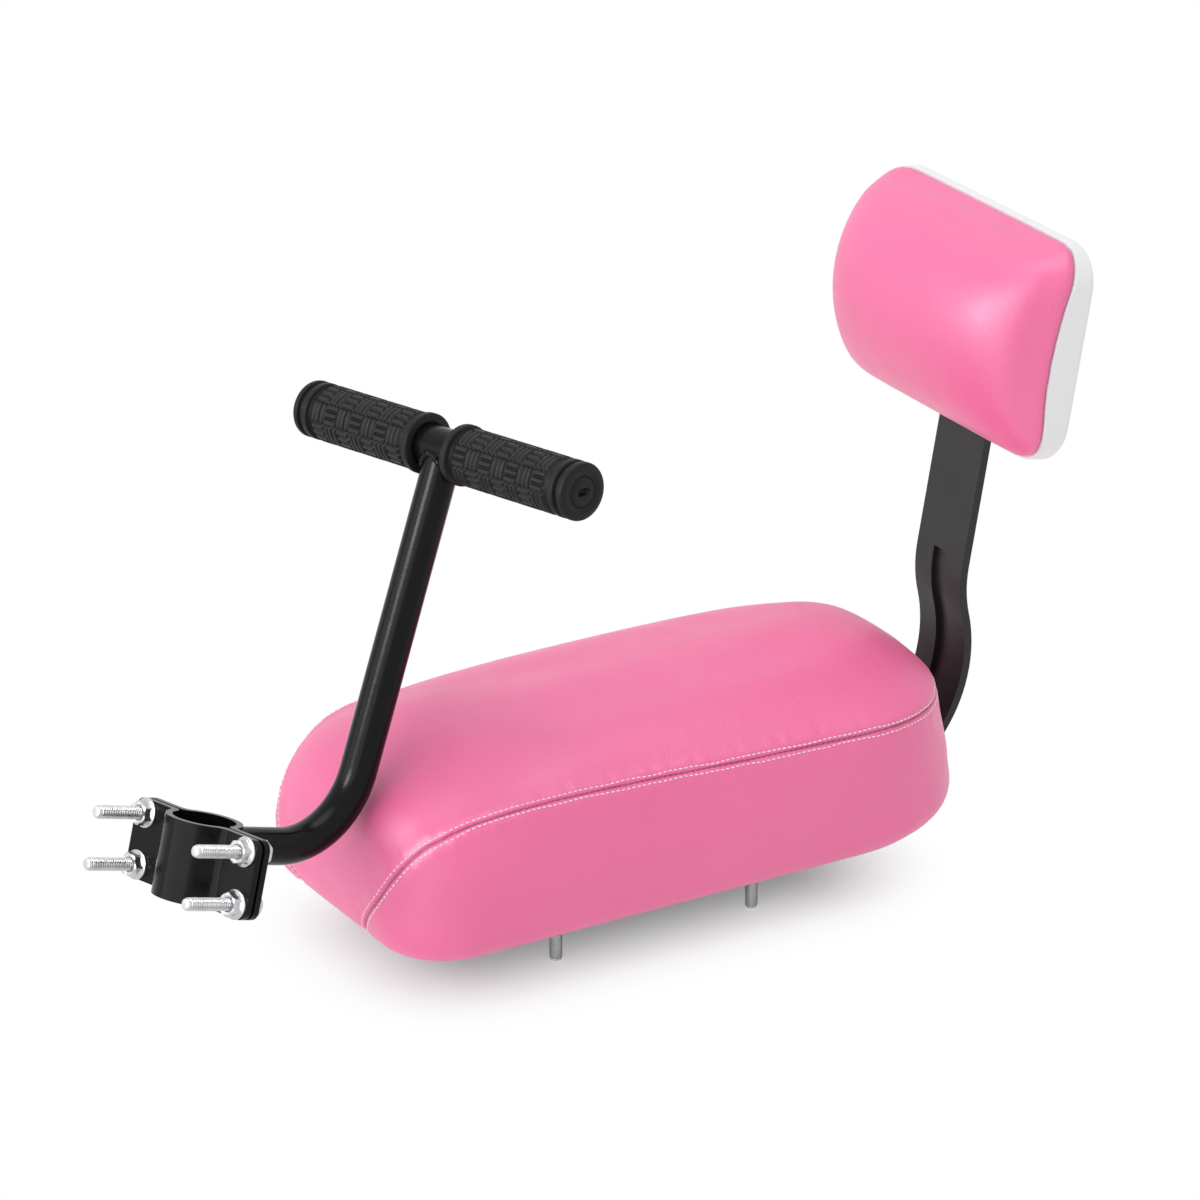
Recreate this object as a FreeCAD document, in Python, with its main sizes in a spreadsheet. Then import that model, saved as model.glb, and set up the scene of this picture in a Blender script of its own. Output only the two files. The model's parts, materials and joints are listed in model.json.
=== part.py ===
import FreeCAD, Part
import math
import os
from types import SimpleNamespace

import Sketcher

# Rear rack passenger seat: a sewn cushion on a studded pan, a backrest on a bent steel strap,
# and the grab handle that clamps to the seat post in front of it.
# +X runs from the nose to the backrest, +Z is up, and the origin is the centre of the stud
# pattern on the underside of the pan.

# Driving dimensions in millimetres and degrees: name, value, what it measures
DIMENSIONS = [
    ("seat_length", 320.0, "cushion, nose to rear wall"),
    ("seat_width", 160.0, "cushion across its widest level"),
    ("seat_height", 89.0, "underside to the top of the crown"),
    ("seam_height", 67.0, "underside to the sewn seam"),
    ("bulge_height", 34.0, "underside to the widest level"),
    ("tuck_height", 8.0, "underside to the level where the wall turns under"),
    ("front_corner", 52.0, "plan radius of the nose corners"),
    ("under_corner", 36.0, "plan radius of the nose corners at the underside"),
    ("rear_corner", 67.0, "plan radius of the rear corners"),
    ("seam_inset", 6.0, "how far the sides lean in between widest level and seam"),
    ("nose_seam_inset", 15.0, "how far the nose leans in between widest level and seam"),
    ("rear_seam_inset", 10.0, "how far the rear leans in between widest level and seam"),
    ("tuck_inset", 2.5, "how far the wall is in at the tuck level"),
    ("nose_tuck_inset", 5.0, "how far the nose is in at the tuck level"),
    ("end_swell", 0.6, "how far nose and rear swell out above the widest level"),
    ("under_inset", 7.5, "how far the underside is in at the sides"),
    ("nose_under_inset", 9.0, "how far the underside is in at the nose"),
    ("rear_under_inset", 18.0, "how far the underside is in at the rear"),
    ("nose_crown_run", 68.0, "length over which the crown falls at the nose"),
    ("rear_crown_run", 39.0, "length over which the crown falls at the rear"),
    ("seat_setback", 13.0, "cushion's middle behind the stud centre"),
    ("soft_clearance", 0.3, "room left between padding and what it lies on"),
    ("pan_width", 124.0, "moulded pan across the seat"),
    ("pan_front", 112.0, "stud centre to the pan's front edge"),
    ("pan_thickness", 10.0, "moulded pan"),
    ("pan_corner", 38.0, "plan radius of the pan's corners"),
    ("stud_spacing_along", 105.0, "rack studs, along the seat"),
    ("stud_spacing_across", 94.0, "rack studs, across the seat"),
    ("stud_reach", 25.0, "rack stud below the underside"),
    ("thread_radius", 3.0, "all bolts and studs"),
    ("hole_clearance", 0.2, "hole radius over thread radius"),
    ("tip_chamfer", 0.9, "lead-in at the end of a thread"),
    ("stud_neck_radius", 3.8, "plain neck of a rack stud, in the pan"),
    ("stud_head_radius", 6.5, "round head of a rack stud"),
    ("stud_head_height", 3.0, "round head of a rack stud"),
    ("recess_radius", 7.5, "recesses in the pan for heads and nuts"),
    ("recess_depth", 6.0, "recesses in the pan for heads and nuts"),
    ("hex_flats", 10.0, "across flats of bolt heads and nuts"),
    ("bolt_head_height", 4.0, "hexagon bolt head"),
    ("nut_height", 5.5, "nut with its flange"),
    ("nut_flange_radius", 6.8, "flange of a nut"),
    ("nut_flange_height", 1.4, "flange of a nut"),
    ("strap_width", 38.0, "flat steel of the backrest"),
    ("strap_thickness", 4.0, "flat steel of the backrest"),
    ("strap_foot", 34.0, "flat foot under the pan"),
    ("strap_bend_start", 122.5, "stud centre to the start of the strap's bend"),
    ("strap_bend_radius", 68.0, "lower bend, at the middle of the steel"),
    ("strap_kick_radius", 60.0, "reverse bend, at the middle of the steel"),
    ("strap_kick", 13.0, "how far the lower bend goes past upright"),
    ("backrest_lean", 10.5, "backrest and upper strap, back from upright"),
    ("strap_end", 14.5, "upper backrest bolt to the top of the strap"),
    ("strap_top_corner", 12.0, "rounded corners at the top of the strap"),
    ("rib_width", 13.0, "pressed rib along the strap's bends"),
    ("rib_height", 2.4, "pressed rib along the strap's bends"),
    ("rib_edge", 1.0, "rounded edges of the pressed rib"),
    ("rib_rise", 3.0, "how far the rib runs up the straight"),
    ("strap_bolt_spacing", 24.0, "bolts through the strap's foot, across"),
    ("strap_bolt_inset", 16.0, "bend start to the bolts through the foot"),
    ("backrest_rise", 120.5, "end of the bends to the middle of the backrest"),
    ("backrest_bolt_spacing", 34.0, "bolts through the upper strap"),
    ("shell_width", 162.0, "moulded back shell"),
    ("shell_height", 104.0, "moulded back shell"),
    ("shell_corner", 20.0, "corners of the back shell"),
    ("shell_wall", 3.0, "wall of the back shell"),
    ("shell_edge", 2.5, "rounded rear edge of the back shell"),
    ("rim_depth", 17.0, "shell rim at its deepest"),
    ("rim_top", 7.0, "shell rim at the top"),
    ("rim_bottom", 10.0, "shell rim at the bottom"),
    ("rim_radius", 180.0, "sweep of the rim seen from the side"),
    ("boss_radius", 7.0, "screw bosses in the shell"),
    ("boss_height", 8.0, "screw bosses in the shell"),
    ("backrest_bolt_reach", 9.0, "backrest bolt past the strap"),
    ("pad_depth", 48.0, "rear face of the shell to the front of the pad"),
    ("pad_rounding", 32.0, "how far the pad's front face is in from its sides"),
    ("post_radius", 14.3, "seat post that the clamp grips"),
    ("plate_thickness", 3.0, "clamp plates"),
    ("plate_width", 83.0, "clamp plates, across"),
    ("plate_height", 36.0, "clamp plates, along the post"),
    ("plate_corner", 5.0, "corners of the clamp plates"),
    ("plate_bend", 5.0, "bends of the clamp plates"),
    ("plate_gap", 1.5, "left between the clamp plates"),
    ("clamp_bolts_across", 68.0, "clamp bolts, across"),
    ("clamp_bolts_along", 23.5, "clamp bolts, along the post"),
    ("clamp_bolt_length", 36.5, "clamp bolts under the head"),
    ("tube_radius", 8.5, "upright tube"),
    ("tube_wall", 1.5, "upright tube and crossbar"),
    ("tube_foot_rise", 6.0, "tube's foot above the clamp's middle"),
    ("tube_stub", 46.0, "post centre to the start of the tube's bend"),
    ("tube_bend_radius", 40.0, "bend of the tube"),
    ("tube_lean", 6.3, "upright, back from the post's direction"),
    ("tube_upper", 148.5, "end of the bend to the crossbar's centre"),
    ("crossbar_radius", 9.5, "tube across the top"),
    ("crossbar_length", 173.0, "tube across the top"),
    ("grip_gap", 22.0, "bare crossbar between the grips"),
    ("grip_clearance", 0.1, "grip bore over crossbar"),
    ("grip_radius", 12.2, "grip body"),
    ("grip_flange_radius", 14.0, "inner flange of a grip"),
    ("grip_collar_radius", 13.2, "collar and end of a grip"),
    ("grip_flange_width", 4.0, "flange, collar and end bead"),
    ("grip_groove", 2.0, "grooves beside the flange and collar"),
    ("grip_cap", 4.0, "closed end of a grip"),
    ("grip_vent_radius", 1.6, "hole in a grip's end"),
    ("clamp_offset", 39.0, "clamp to the near side of the seat's middle"),
    ("clamp_height", 66.0, "clamp centre above the underside"),
    ("handle_turn", 12.3, "handle turned about the post"),
    ("handle_tip", 3.4, "handle tipped to the near side"),
    ("post_lean", 18.4, "seat post, back from upright"),
]

# Shares of the way from seam to crown at which the cushion's upper sections lie
CROWN_SHARES = (0.2, 0.5, 0.84)

# Sections of the backrest pad forward of the shell's rim: share of the way to the front, share of
# the rounding taken in, and corner radius over that of the shell
PAD_SECTIONS = ((0.0, 0.01, 1.0), (0.38, 0.08, 2.0), (0.76, 0.4, 1.9), (1.0, 1.0, 0.9))

ALONG_X = FreeCAD.Vector(1, 0, 0)
ALONG_Y = FreeCAD.Vector(0, 1, 0)
ALONG_Z = FreeCAD.Vector(0, 0, 1)
QUARTER_TURN = 90.0

doc = FreeCAD.newDocument("rear_rack_seat")
sheet = doc.addObject("Spreadsheet::Sheet", "sizes")


class Size:
    """A length or angle that carries its value and the sheet formula that gives it."""

    def __init__(self, value, formula):
        self.value = value
        self.formula = formula

    def __add__(self, other):
        other = as_size(other)
        return Size(self.value + other.value, f"({self.formula} + {other.formula})")

    def __sub__(self, other):
        other = as_size(other)
        return Size(self.value - other.value, f"({self.formula} - {other.formula})")

    def __mul__(self, other):
        other = as_size(other)
        return Size(self.value * other.value, f"({self.formula} * {other.formula})")

    def __truediv__(self, other):
        other = as_size(other)
        return Size(self.value / other.value, f"({self.formula} / {other.formula})")

    def __neg__(self):
        return self * -1.0

    def __radd__(self, other):
        return as_size(other) + self

    def __rsub__(self, other):
        return as_size(other) - self

    def __rmul__(self, other):
        return as_size(other) * self


def as_size(item):
    if isinstance(item, Size):
        return item
    return Size(float(item), str(float(item)))


def sine(angle):
    return Size(math.sin(math.radians(angle.value)), f"sin({angle.formula})")


def cosine(angle):
    return Size(math.cos(math.radians(angle.value)), f"cos({angle.formula})")


def root(square):
    return Size(math.sqrt(square.value), f"sqrt({square.formula})")


def fill_sheet():
    """Write the driving dimensions to the sheet and give them back by name."""
    for row, (name, value, note) in enumerate(DIMENSIONS, start=1):
        sheet.set(f"A{row}", name)
        sheet.set(f"B{row}", str(value))
        sheet.setAlias(f"B{row}", name)
        sheet.set(f"C{row}", note)
    doc.recompute()
    return SimpleNamespace(**{
        name: Size(float(sheet.get(name)), f"sizes.{name}") for name, _, _ in DIMENSIONS
    })


dim = fill_sheet()


# Sketching

def new_body(name):
    body = doc.addObject("PartDesign::Body", name)
    body.Label = name
    return body


def new_sketch(body, name, plane, offset=None):
    sketch = body.newObject("Sketcher::SketchObject", name)
    support = next(item for item in body.Origin.OriginFeatures if item.Role == plane)
    sketch.AttachmentSupport = [(support, "")]
    sketch.MapMode = "FlatFace"
    if offset is not None:
        sketch.setExpression("AttachmentOffset.Base.z", offset.formula)
    return sketch


def flat(point):
    return FreeCAD.Vector(as_size(point[0]).value, as_size(point[1]).value, 0)


def pin_point(sketch, geometry, spot, point):
    """Dimension a point of the sketch from the sketch's origin."""
    for kind, reach in zip(("DistanceX", "DistanceY"), point):
        reach = as_size(reach)
        rule = sketch.addConstraint(Sketcher.Constraint(kind, -1, 1, geometry, spot, reach.value))
        sketch.setExpression(f"Constraints[{rule}]", reach.formula)


def pin_radius(sketch, geometry, radius):
    rule = sketch.addConstraint(Sketcher.Constraint("Radius", geometry, radius.value))
    sketch.setExpression(f"Constraints[{rule}]", radius.formula)


def add_stretch(sketch, start, end, bend):
    """Add a line, or an arc where bend gives its radius and side, and return its two end spots."""
    if bend is None:
        return sketch.addGeometry(Part.LineSegment(start, end), False), 1, 2
    radius, side = bend
    chord = end - start
    rise = math.sqrt(max(radius.value ** 2 - (chord.Length / 2) ** 2, 0.0))
    across = FreeCAD.Vector(-chord.y, chord.x, 0).normalize()
    centre = (start + end) * 0.5 + across * (side * rise)
    first, last = (start, end) if side > 0 else (end, start)
    angles = [math.atan2(point.y - centre.y, point.x - centre.x) for point in (first, last)]
    circle = Part.Circle(centre, ALONG_Z, radius.value)
    arc = sketch.addGeometry(Part.ArcOfCircle(circle, *angles), False)
    return (arc, 1, 2) if side > 0 else (arc, 2, 1)


def draw(sketch, corners, bends=None, closed=True):
    """Draw the outline through the corners.

    bends maps a corner's number to the radius and side of the arc that leaves it: side 1 has the
    arc's centre on the left of the way round, and -1 on the right.
    """
    bends = bends or {}
    count = len(corners) if closed else len(corners) - 1
    stretches = []
    for number in range(count):
        start = flat(corners[number])
        end = flat(corners[(number + 1) % len(corners)])
        stretches.append(add_stretch(sketch, start, end, bends.get(number)))
    for number, (geometry, first, last) in enumerate(stretches):
        if closed or number > 0:
            before, _, joint = stretches[number - 1]
            sketch.addConstraint(Sketcher.Constraint("Coincident", before, joint, geometry, first))
        pin_point(sketch, geometry, first, corners[number])
    if not closed:
        geometry, _, last = stretches[-1]
        pin_point(sketch, geometry, last, corners[-1])
    for number, (radius, _) in bends.items():
        pin_radius(sketch, stretches[number][0], radius)


def draw_circle(sketch, centre, radius):
    circle = sketch.addGeometry(Part.Circle(flat(centre), ALONG_Z, radius.value), False)
    pin_point(sketch, circle, 3, centre)
    pin_radius(sketch, circle, radius)


def draw_rounded(sketch, front, rear, half_width, front_radius, rear_radius):
    """Draw a rectangle with rounded corners from -front to rear, of its own radius at each end."""
    corners = [
        (front_radius - front, -half_width),
        (rear - rear_radius, -half_width),
        (rear, rear_radius - half_width),
        (rear, half_width - rear_radius),
        (rear - rear_radius, half_width),
        (front_radius - front, half_width),
        (-front, half_width - front_radius),
        (-front, front_radius - half_width),
    ]
    bends = {1: (rear_radius, 1), 3: (rear_radius, 1), 5: (front_radius, 1), 7: (front_radius, 1)}
    draw(sketch, corners, bends)


# Features

def extrude(body, kind, name, sketch, length, both_ways=False, reverse=False):
    """Pad or Pocket a sketch by a length, to one side or half to each."""
    feature = body.newObject(f"PartDesign::{kind}", name)
    feature.Profile = sketch
    feature.SideType = "Symmetric" if both_ways else "One side"
    feature.Reversed = reverse
    feature.setExpression("Length", length.formula)
    sketch.Visibility = False
    return feature


def loft(body, name, sketches):
    feature = body.newObject("PartDesign::AdditiveLoft", name)
    feature.Profile = sketches[0]
    feature.Sections = sketches[1:]
    return feature


def round_edges(body, name, radius, wanted):
    """Round the edges of the body so far that the test picks."""
    doc.recompute()
    before = body.Tip
    names = [f"Edge{number}" for number, edge in enumerate(before.Shape.Edges, 1) if wanted(edge)]
    feature = body.newObject("PartDesign::Fillet", name)
    feature.Base = (before, names)
    feature.setExpression("Radius", radius.formula)
    return feature


def runs_along(edge, direction):
    """True for a straight edge that is parallel to the direction."""
    if not isinstance(edge.Curve, Part.Line):
        return False
    return abs(abs(edge.Curve.Direction.dot(direction)) - 1.0) < 1e-6


# Seat

def crown_rise(share):
    """Share of the crown's height at a share of the way in from the seam."""
    return 1 - (1 - share) ** 2


def seat_levels():
    """Sections of the cushion from the underside up.

    Each has its height, its insets at side, nose and rear, and the plan radius of its nose corners.
    """
    none = as_size(0.0)
    corner = dim.front_corner
    levels = [
        (none, dim.under_inset, dim.nose_under_inset, dim.rear_under_inset, dim.under_corner),
        (dim.tuck_height, dim.tuck_inset, dim.nose_tuck_inset, dim.tuck_inset, dim.under_corner),
        (dim.bulge_height, none, dim.end_swell, dim.end_swell, corner),
        (dim.seam_height, dim.seam_inset, dim.nose_seam_inset, dim.rear_seam_inset, corner),
    ]
    crown = dim.seat_height - dim.seam_height
    across = dim.seat_width / 2 - dim.seam_inset
    for share in CROWN_SHARES:
        height = dim.seam_height + crown * (crown_rise(share) / crown_rise(CROWN_SHARES[-1]))
        side = dim.seam_inset + across * share
        nose = dim.nose_seam_inset + dim.nose_crown_run * share
        rear = dim.rear_seam_inset + dim.rear_crown_run * share
        levels.append((height, side, nose, rear, corner))
    return levels


def bend_centre():
    """Centre of the strap's lower bend, across and up."""
    return dim.strap_bend_start, dim.strap_bend_radius - dim.strap_thickness / 2


def make_seat_cushion():
    body = new_body("seat_cushion")
    half_width = dim.seat_width / 2
    sections = []
    for number, (height, side, nose, rear, corner) in enumerate(seat_levels()):
        sketch = new_sketch(body, f"cushion_level_{number}", "XY_Plane", height)
        width_here = half_width - side
        narrowing = width_here / half_width
        draw_rounded(
            sketch,
            dim.seat_length / 2 - dim.seat_setback - nose,
            dim.seat_length / 2 + dim.seat_setback - rear,
            width_here,
            corner * narrowing,
            dim.rear_corner * narrowing,
        )
        sections.append(sketch)
    loft(body, "cushion_form", sections)

    room = dim.soft_clearance
    bed = new_sketch(body, "pan_bed_outline", "XY_Plane")
    draw_pan_outline(bed, room)
    extrude(body, "Pocket", "pan_bed", bed, dim.pan_thickness + room, reverse=True)

    # The strap's bend presses into the cushion where it comes out from underneath
    centre_x, centre_z = bend_centre()
    radius = dim.strap_bend_radius - dim.strap_thickness / 2 - room
    across, up = math.cos(math.radians(15.0)), math.sin(math.radians(15.0))
    outside = dim.seat_length / 2 + dim.seat_setback + radius
    channel = new_sketch(body, "strap_channel_outline", "XZ_Plane")
    corners = [
        (centre_x, -dim.strap_thickness),
        (outside, -dim.strap_thickness),
        (outside, centre_z - radius * up),
        (centre_x + radius * across, centre_z - radius * up),
        (centre_x, centre_z - radius),
    ]
    draw(channel, corners, {3: (radius, -1)})
    extrude(body, "Pocket", "strap_channel", channel, dim.strap_width + 2 * room, both_ways=True)
    return body


def draw_pan_outline(sketch, room=0.0):
    room = as_size(room)
    corner = dim.pan_corner + room
    draw_rounded(
        sketch,
        dim.pan_front + room,
        dim.strap_bend_start + room,
        dim.pan_width / 2 + room,
        corner,
        corner,
    )


def stud_places():
    return [
        (dim.stud_spacing_along * (0.5 * along), dim.stud_spacing_across * (0.5 * across))
        for along in (-1, 1)
        for across in (-1, 1)
    ]


def strap_bolt_places():
    along = dim.strap_bend_start - dim.strap_bolt_inset
    return [(along, dim.strap_bolt_spacing * (0.5 * side)) for side in (-1, 1)]


def make_seat_pan():
    body = new_body("seat_pan")
    outline = new_sketch(body, "pan_outline", "XY_Plane")
    draw_pan_outline(outline)
    extrude(body, "Pad", "pan_plate", outline, dim.pan_thickness)
    holes = new_sketch(body, "pan_holes_outline", "XY_Plane")
    recesses = new_sketch(body, "pan_recesses_outline", "XY_Plane", dim.pan_thickness)
    for places, radius in (
        (stud_places(), dim.stud_neck_radius),
        (strap_bolt_places(), dim.thread_radius),
    ):
        for place in places:
            draw_circle(holes, place, radius + dim.hole_clearance)
            draw_circle(recesses, place, dim.recess_radius)
    extrude(body, "Pocket", "pan_holes", holes, dim.pan_thickness, reverse=True)
    extrude(body, "Pocket", "pan_recesses", recesses, dim.recess_depth)
    return body


# Fasteners, each with its seat at the origin and its head or nut on the +Z side

def primitive(kind, name, lift=None, **lengths):
    item = doc.addObject(f"Part::{kind}", name)
    for key, size in lengths.items():
        item.setExpression(key, size.formula)
    if lift is not None:
        item.setExpression("Placement.Base.z", lift.formula)
    return item


def combine(kind, name, **links):
    item = doc.addObject(f"Part::{kind}", name)
    for key, value in links.items():
        setattr(item, key, value)
    item.Label = name
    return item


def threaded_shank(name, length, start=0.0):
    """Shank from its start below the seat down, with a lead-in at its end."""
    radius = dim.thread_radius
    shank = primitive(
        "Cylinder",
        f"{name}_shank",
        dim.tip_chamfer - length,
        Radius=radius,
        Height=length - dim.tip_chamfer - start,
    )
    tip = primitive(
        "Cone",
        f"{name}_tip",
        -length,
        Radius1=radius - dim.tip_chamfer,
        Radius2=radius,
        Height=dim.tip_chamfer,
    )
    return [shank, tip]


def hexagon(name, height, lift=None):
    return primitive("Prism", name, lift, Circumradius=dim.hex_flats / math.sqrt(3), Height=height)


def make_hex_bolt(name, length):
    head = hexagon(f"{name}_head", dim.bolt_head_height)
    return combine("MultiFuse", name, Shapes=[head] + threaded_shank(name, length))


def make_round_stud(name, neck_length, reach):
    head = primitive("Cylinder", f"{name}_head", Radius=dim.stud_head_radius, Height=dim.stud_head_height)
    neck = primitive(
        "Cylinder", f"{name}_neck", -neck_length, Radius=dim.stud_neck_radius, Height=neck_length
    )
    thread = threaded_shank(name, neck_length + reach, neck_length)
    return combine("MultiFuse", name, Shapes=[head, neck] + thread)


def make_nut(name):
    flange = primitive(
        "Cylinder", f"{name}_flange", Radius=dim.nut_flange_radius, Height=dim.nut_flange_height
    )
    sides = hexagon(f"{name}_sides", dim.nut_height)
    blank = combine("MultiFuse", f"{name}_blank", Shapes=[flange, sides])
    thread = primitive(
        "Cylinder", f"{name}_thread", Radius=dim.thread_radius + dim.hole_clearance, Height=dim.nut_height
    )
    return combine("Cut", name, Base=blank, Tool=thread)


def at(x, y, z, turn=None):
    """Placement from sizes, turned first."""
    base = FreeCAD.Vector(*(as_size(item).value for item in (x, y, z)))
    return FreeCAD.Placement(base, turn or FreeCAD.Rotation())


def make_seat_fasteners():
    """Studs through the pan, and the bolts and nuts of the strap's foot."""
    made = []
    floor = dim.pan_thickness - dim.recess_depth
    for number, (x, y) in enumerate(stud_places(), 1):
        stud = make_round_stud(f"rack_stud_{number}", floor, dim.stud_reach)
        stud.Placement = at(x, y, floor)
        made.append(stud)
    upside_down = FreeCAD.Rotation(ALONG_X, 2 * QUARTER_TURN)
    bolt_length = dim.strap_thickness + floor + dim.nut_height
    for number, (x, y) in enumerate(strap_bolt_places(), 1):
        bolt = make_hex_bolt(f"strap_bolt_{number}", bolt_length)
        bolt.Placement = at(x, y, -dim.strap_thickness, upside_down)
        nut = make_nut(f"strap_nut_{number}")
        nut.Placement = at(x, y, floor)
        made += [bolt, nut]
    return made


# Backrest

def strap_turns():
    """Points where the strap's bends meet, as functions of how far out from a bend's centre."""
    centre_x, centre_z = bend_centre()
    past = (cosine(dim.strap_kick), sine(dim.strap_kick))
    back = (cosine(dim.backrest_lean), sine(dim.backrest_lean))
    apart = dim.strap_bend_radius + dim.strap_kick_radius
    kick_x = centre_x + apart * past[0]
    kick_z = centre_z + apart * past[1]

    def bends_meet(out):
        """Where the two bends meet, out from the lower bend's middle line."""
        radius = dim.strap_bend_radius + out
        return centre_x + radius * past[0], centre_z + radius * past[1]

    def straight_starts(out, rise):
        """A point of the straight run, out from the middle line and up from the bend's end."""
        radius = dim.strap_kick_radius - out
        return (
            kick_x - radius * back[0] + rise * back[1],
            kick_z + radius * back[1] + rise * back[0],
        )

    return bends_meet, straight_starts


def draw_strap_band(sketch, inner, outer, top, bottom=None):
    """Draw a band that follows the strap, between two distances from its middle line.

    The band starts on the lower bend's lowest point, or where bottom starts its foot.
    """
    centre_x, centre_z = bend_centre()
    bends_meet, straight_starts = strap_turns()
    low = dim.strap_bend_radius
    corners = [
        (centre_x, centre_z - low - outer),
        bends_meet(outer),
        straight_starts(outer, as_size(0.0)),
        straight_starts(outer, top),
        straight_starts(inner, top),
        straight_starts(inner, as_size(0.0)),
        bends_meet(inner),
        (centre_x, centre_z - low - inner),
    ]
    bends = {
        0: (low + outer, 1),
        1: (dim.strap_kick_radius - outer, -1),
        5: (dim.strap_kick_radius - inner, 1),
        6: (low + inner, -1),
    }
    if bottom is not None:
        corners.append((bottom, centre_z - low - inner))
        corners.append((bottom, centre_z - low - outer))
    draw(sketch, corners, bends)


def make_backrest_strap():
    body = new_body("backrest_strap")
    half = dim.strap_thickness / 2
    outline = new_sketch(body, "strap_outline", "XZ_Plane")
    top = dim.backrest_rise + dim.backrest_bolt_spacing / 2 + dim.strap_end
    draw_strap_band(outline, -half, half, top, dim.strap_bend_start - dim.strap_foot)
    extrude(body, "Pad", "strap_steel", outline, dim.strap_width, both_ways=True)

    # The rib is pressed out of the steel towards the rear
    rib = new_sketch(body, "rib_outline", "XZ_Plane")
    draw_strap_band(rib, half, half + dim.rib_height, dim.rib_rise)
    extrude(body, "Pad", "rib", rib, dim.rib_width, both_ways=True)

    rib_radius = (dim.strap_bend_radius + half + dim.rib_height).value

    def along_rib(edge):
        return isinstance(edge.Curve, Part.Circle) and abs(edge.Curve.Radius - rib_radius) < 1e-6

    round_edges(body, "rib_edges", dim.rib_edge, along_rib)
    groove = new_sketch(body, "rib_groove_outline", "XZ_Plane")
    draw_strap_band(groove, -half, dim.rib_height - half, dim.rib_rise)
    extrude(body, "Pocket", "rib_groove", groove, dim.rib_width - dim.rib_height, both_ways=True)

    holes = new_sketch(body, "foot_holes_outline", "XY_Plane")
    for place in strap_bolt_places():
        draw_circle(holes, place, dim.thread_radius + dim.hole_clearance)
    extrude(body, "Pocket", "foot_holes", holes, dim.strap_thickness)
    back_holes = new_sketch(body, "back_holes_outline", "YZ_Plane")
    lean_with_backrest(back_holes)
    for place in backrest_bolt_places():
        draw_circle(back_holes, place, dim.thread_radius + dim.hole_clearance)
    extrude(body, "Pocket", "back_holes", back_holes, dim.strap_thickness, reverse=True)

    def at_top_corner(edge):
        through_steel = FreeCAD.Rotation(ALONG_Y, dim.backrest_lean.value).multVec(ALONG_X)
        return runs_along(edge, through_steel) and edge.BoundBox.ZMin > backrest_frame().Base.z

    round_edges(body, "strap_top", dim.strap_top_corner, at_top_corner)
    return body


def backrest_frame():
    """Middle of the strap's front face behind the pad, leaning with the backrest."""
    _, straight_starts = strap_turns()
    x, z = straight_starts(-dim.strap_thickness / 2, dim.backrest_rise)
    return at(x, 0.0, z, FreeCAD.Rotation(ALONG_Y, dim.backrest_lean.value))


def lean_with_backrest(sketch):
    """Put an upright sketch on the backrest's rear face."""
    _, straight_starts = strap_turns()
    x, z = straight_starts(-dim.strap_thickness / 2, dim.backrest_rise)
    sketch.AttachmentOffset = at(0.0, z, x, FreeCAD.Rotation(ALONG_X, dim.backrest_lean.value))
    sketch.setExpression("AttachmentOffset.Base.y", z.formula)
    sketch.setExpression("AttachmentOffset.Base.z", x.formula)
    sketch.setExpression("AttachmentOffset.Rotation.Angle", dim.backrest_lean.formula)


def backrest_bolt_places():
    """Across and up from the middle of the backrest."""
    return [(as_size(0.0), dim.backrest_bolt_spacing * (0.5 * side)) for side in (-1, 1)]


def draw_upright(sketch, inset, corner):
    """Draw the backrest's outline, inset all round, on an upright plane."""
    half_width = dim.shell_width / 2 - inset
    draw_rounded(sketch, half_width, half_width, dim.shell_height / 2 - inset, corner, corner)


def draw_rim_sweep(sketch, room, end):
    """Draw what lies between the rim's edge, which sweeps forward in the middle, and an end."""
    top = dim.shell_height / 2
    bottom_edge = (-dim.rim_bottom - room, -top)
    top_edge = (-dim.rim_top - room, top)
    draw(sketch, [(-end, -top), bottom_edge, top_edge, (-end, top)], {1: (dim.rim_radius, -1)})


def make_backrest_shell():
    body = new_body("backrest_shell")
    none = as_size(0.0)
    outline = new_sketch(body, "shell_outline", "YZ_Plane")
    draw_upright(outline, none, dim.shell_corner)
    extrude(body, "Pad", "shell_block", outline, dim.rim_depth, reverse=True)
    round_edges(
        body,
        "shell_rear_edge",
        dim.shell_edge,
        lambda edge: abs(edge.BoundBox.XMin) < 1e-6 and abs(edge.BoundBox.XMax) < 1e-6,
    )
    hollow = new_sketch(body, "shell_hollow_outline", "YZ_Plane", -dim.shell_wall)
    draw_upright(hollow, dim.shell_wall, dim.shell_corner - dim.shell_wall)
    extrude(body, "Pocket", "shell_hollow", hollow, dim.rim_depth)

    sweep = new_sketch(body, "rim_sweep_outline", "XZ_Plane")
    draw_rim_sweep(sweep, none, dim.rim_depth * 2)
    extrude(body, "Pocket", "rim_sweep", sweep, dim.shell_width, both_ways=True)

    bosses = new_sketch(body, "boss_outline", "YZ_Plane", -dim.shell_wall)
    holes = new_sketch(body, "boss_holes_outline", "YZ_Plane")
    for place in backrest_bolt_places():
        draw_circle(bosses, place, dim.boss_radius)
        draw_circle(holes, place, dim.thread_radius + dim.hole_clearance)
    extrude(body, "Pad", "bosses", bosses, dim.boss_height, reverse=True)
    extrude(body, "Pocket", "boss_holes", holes, dim.shell_wall + dim.boss_height)
    return body


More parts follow.
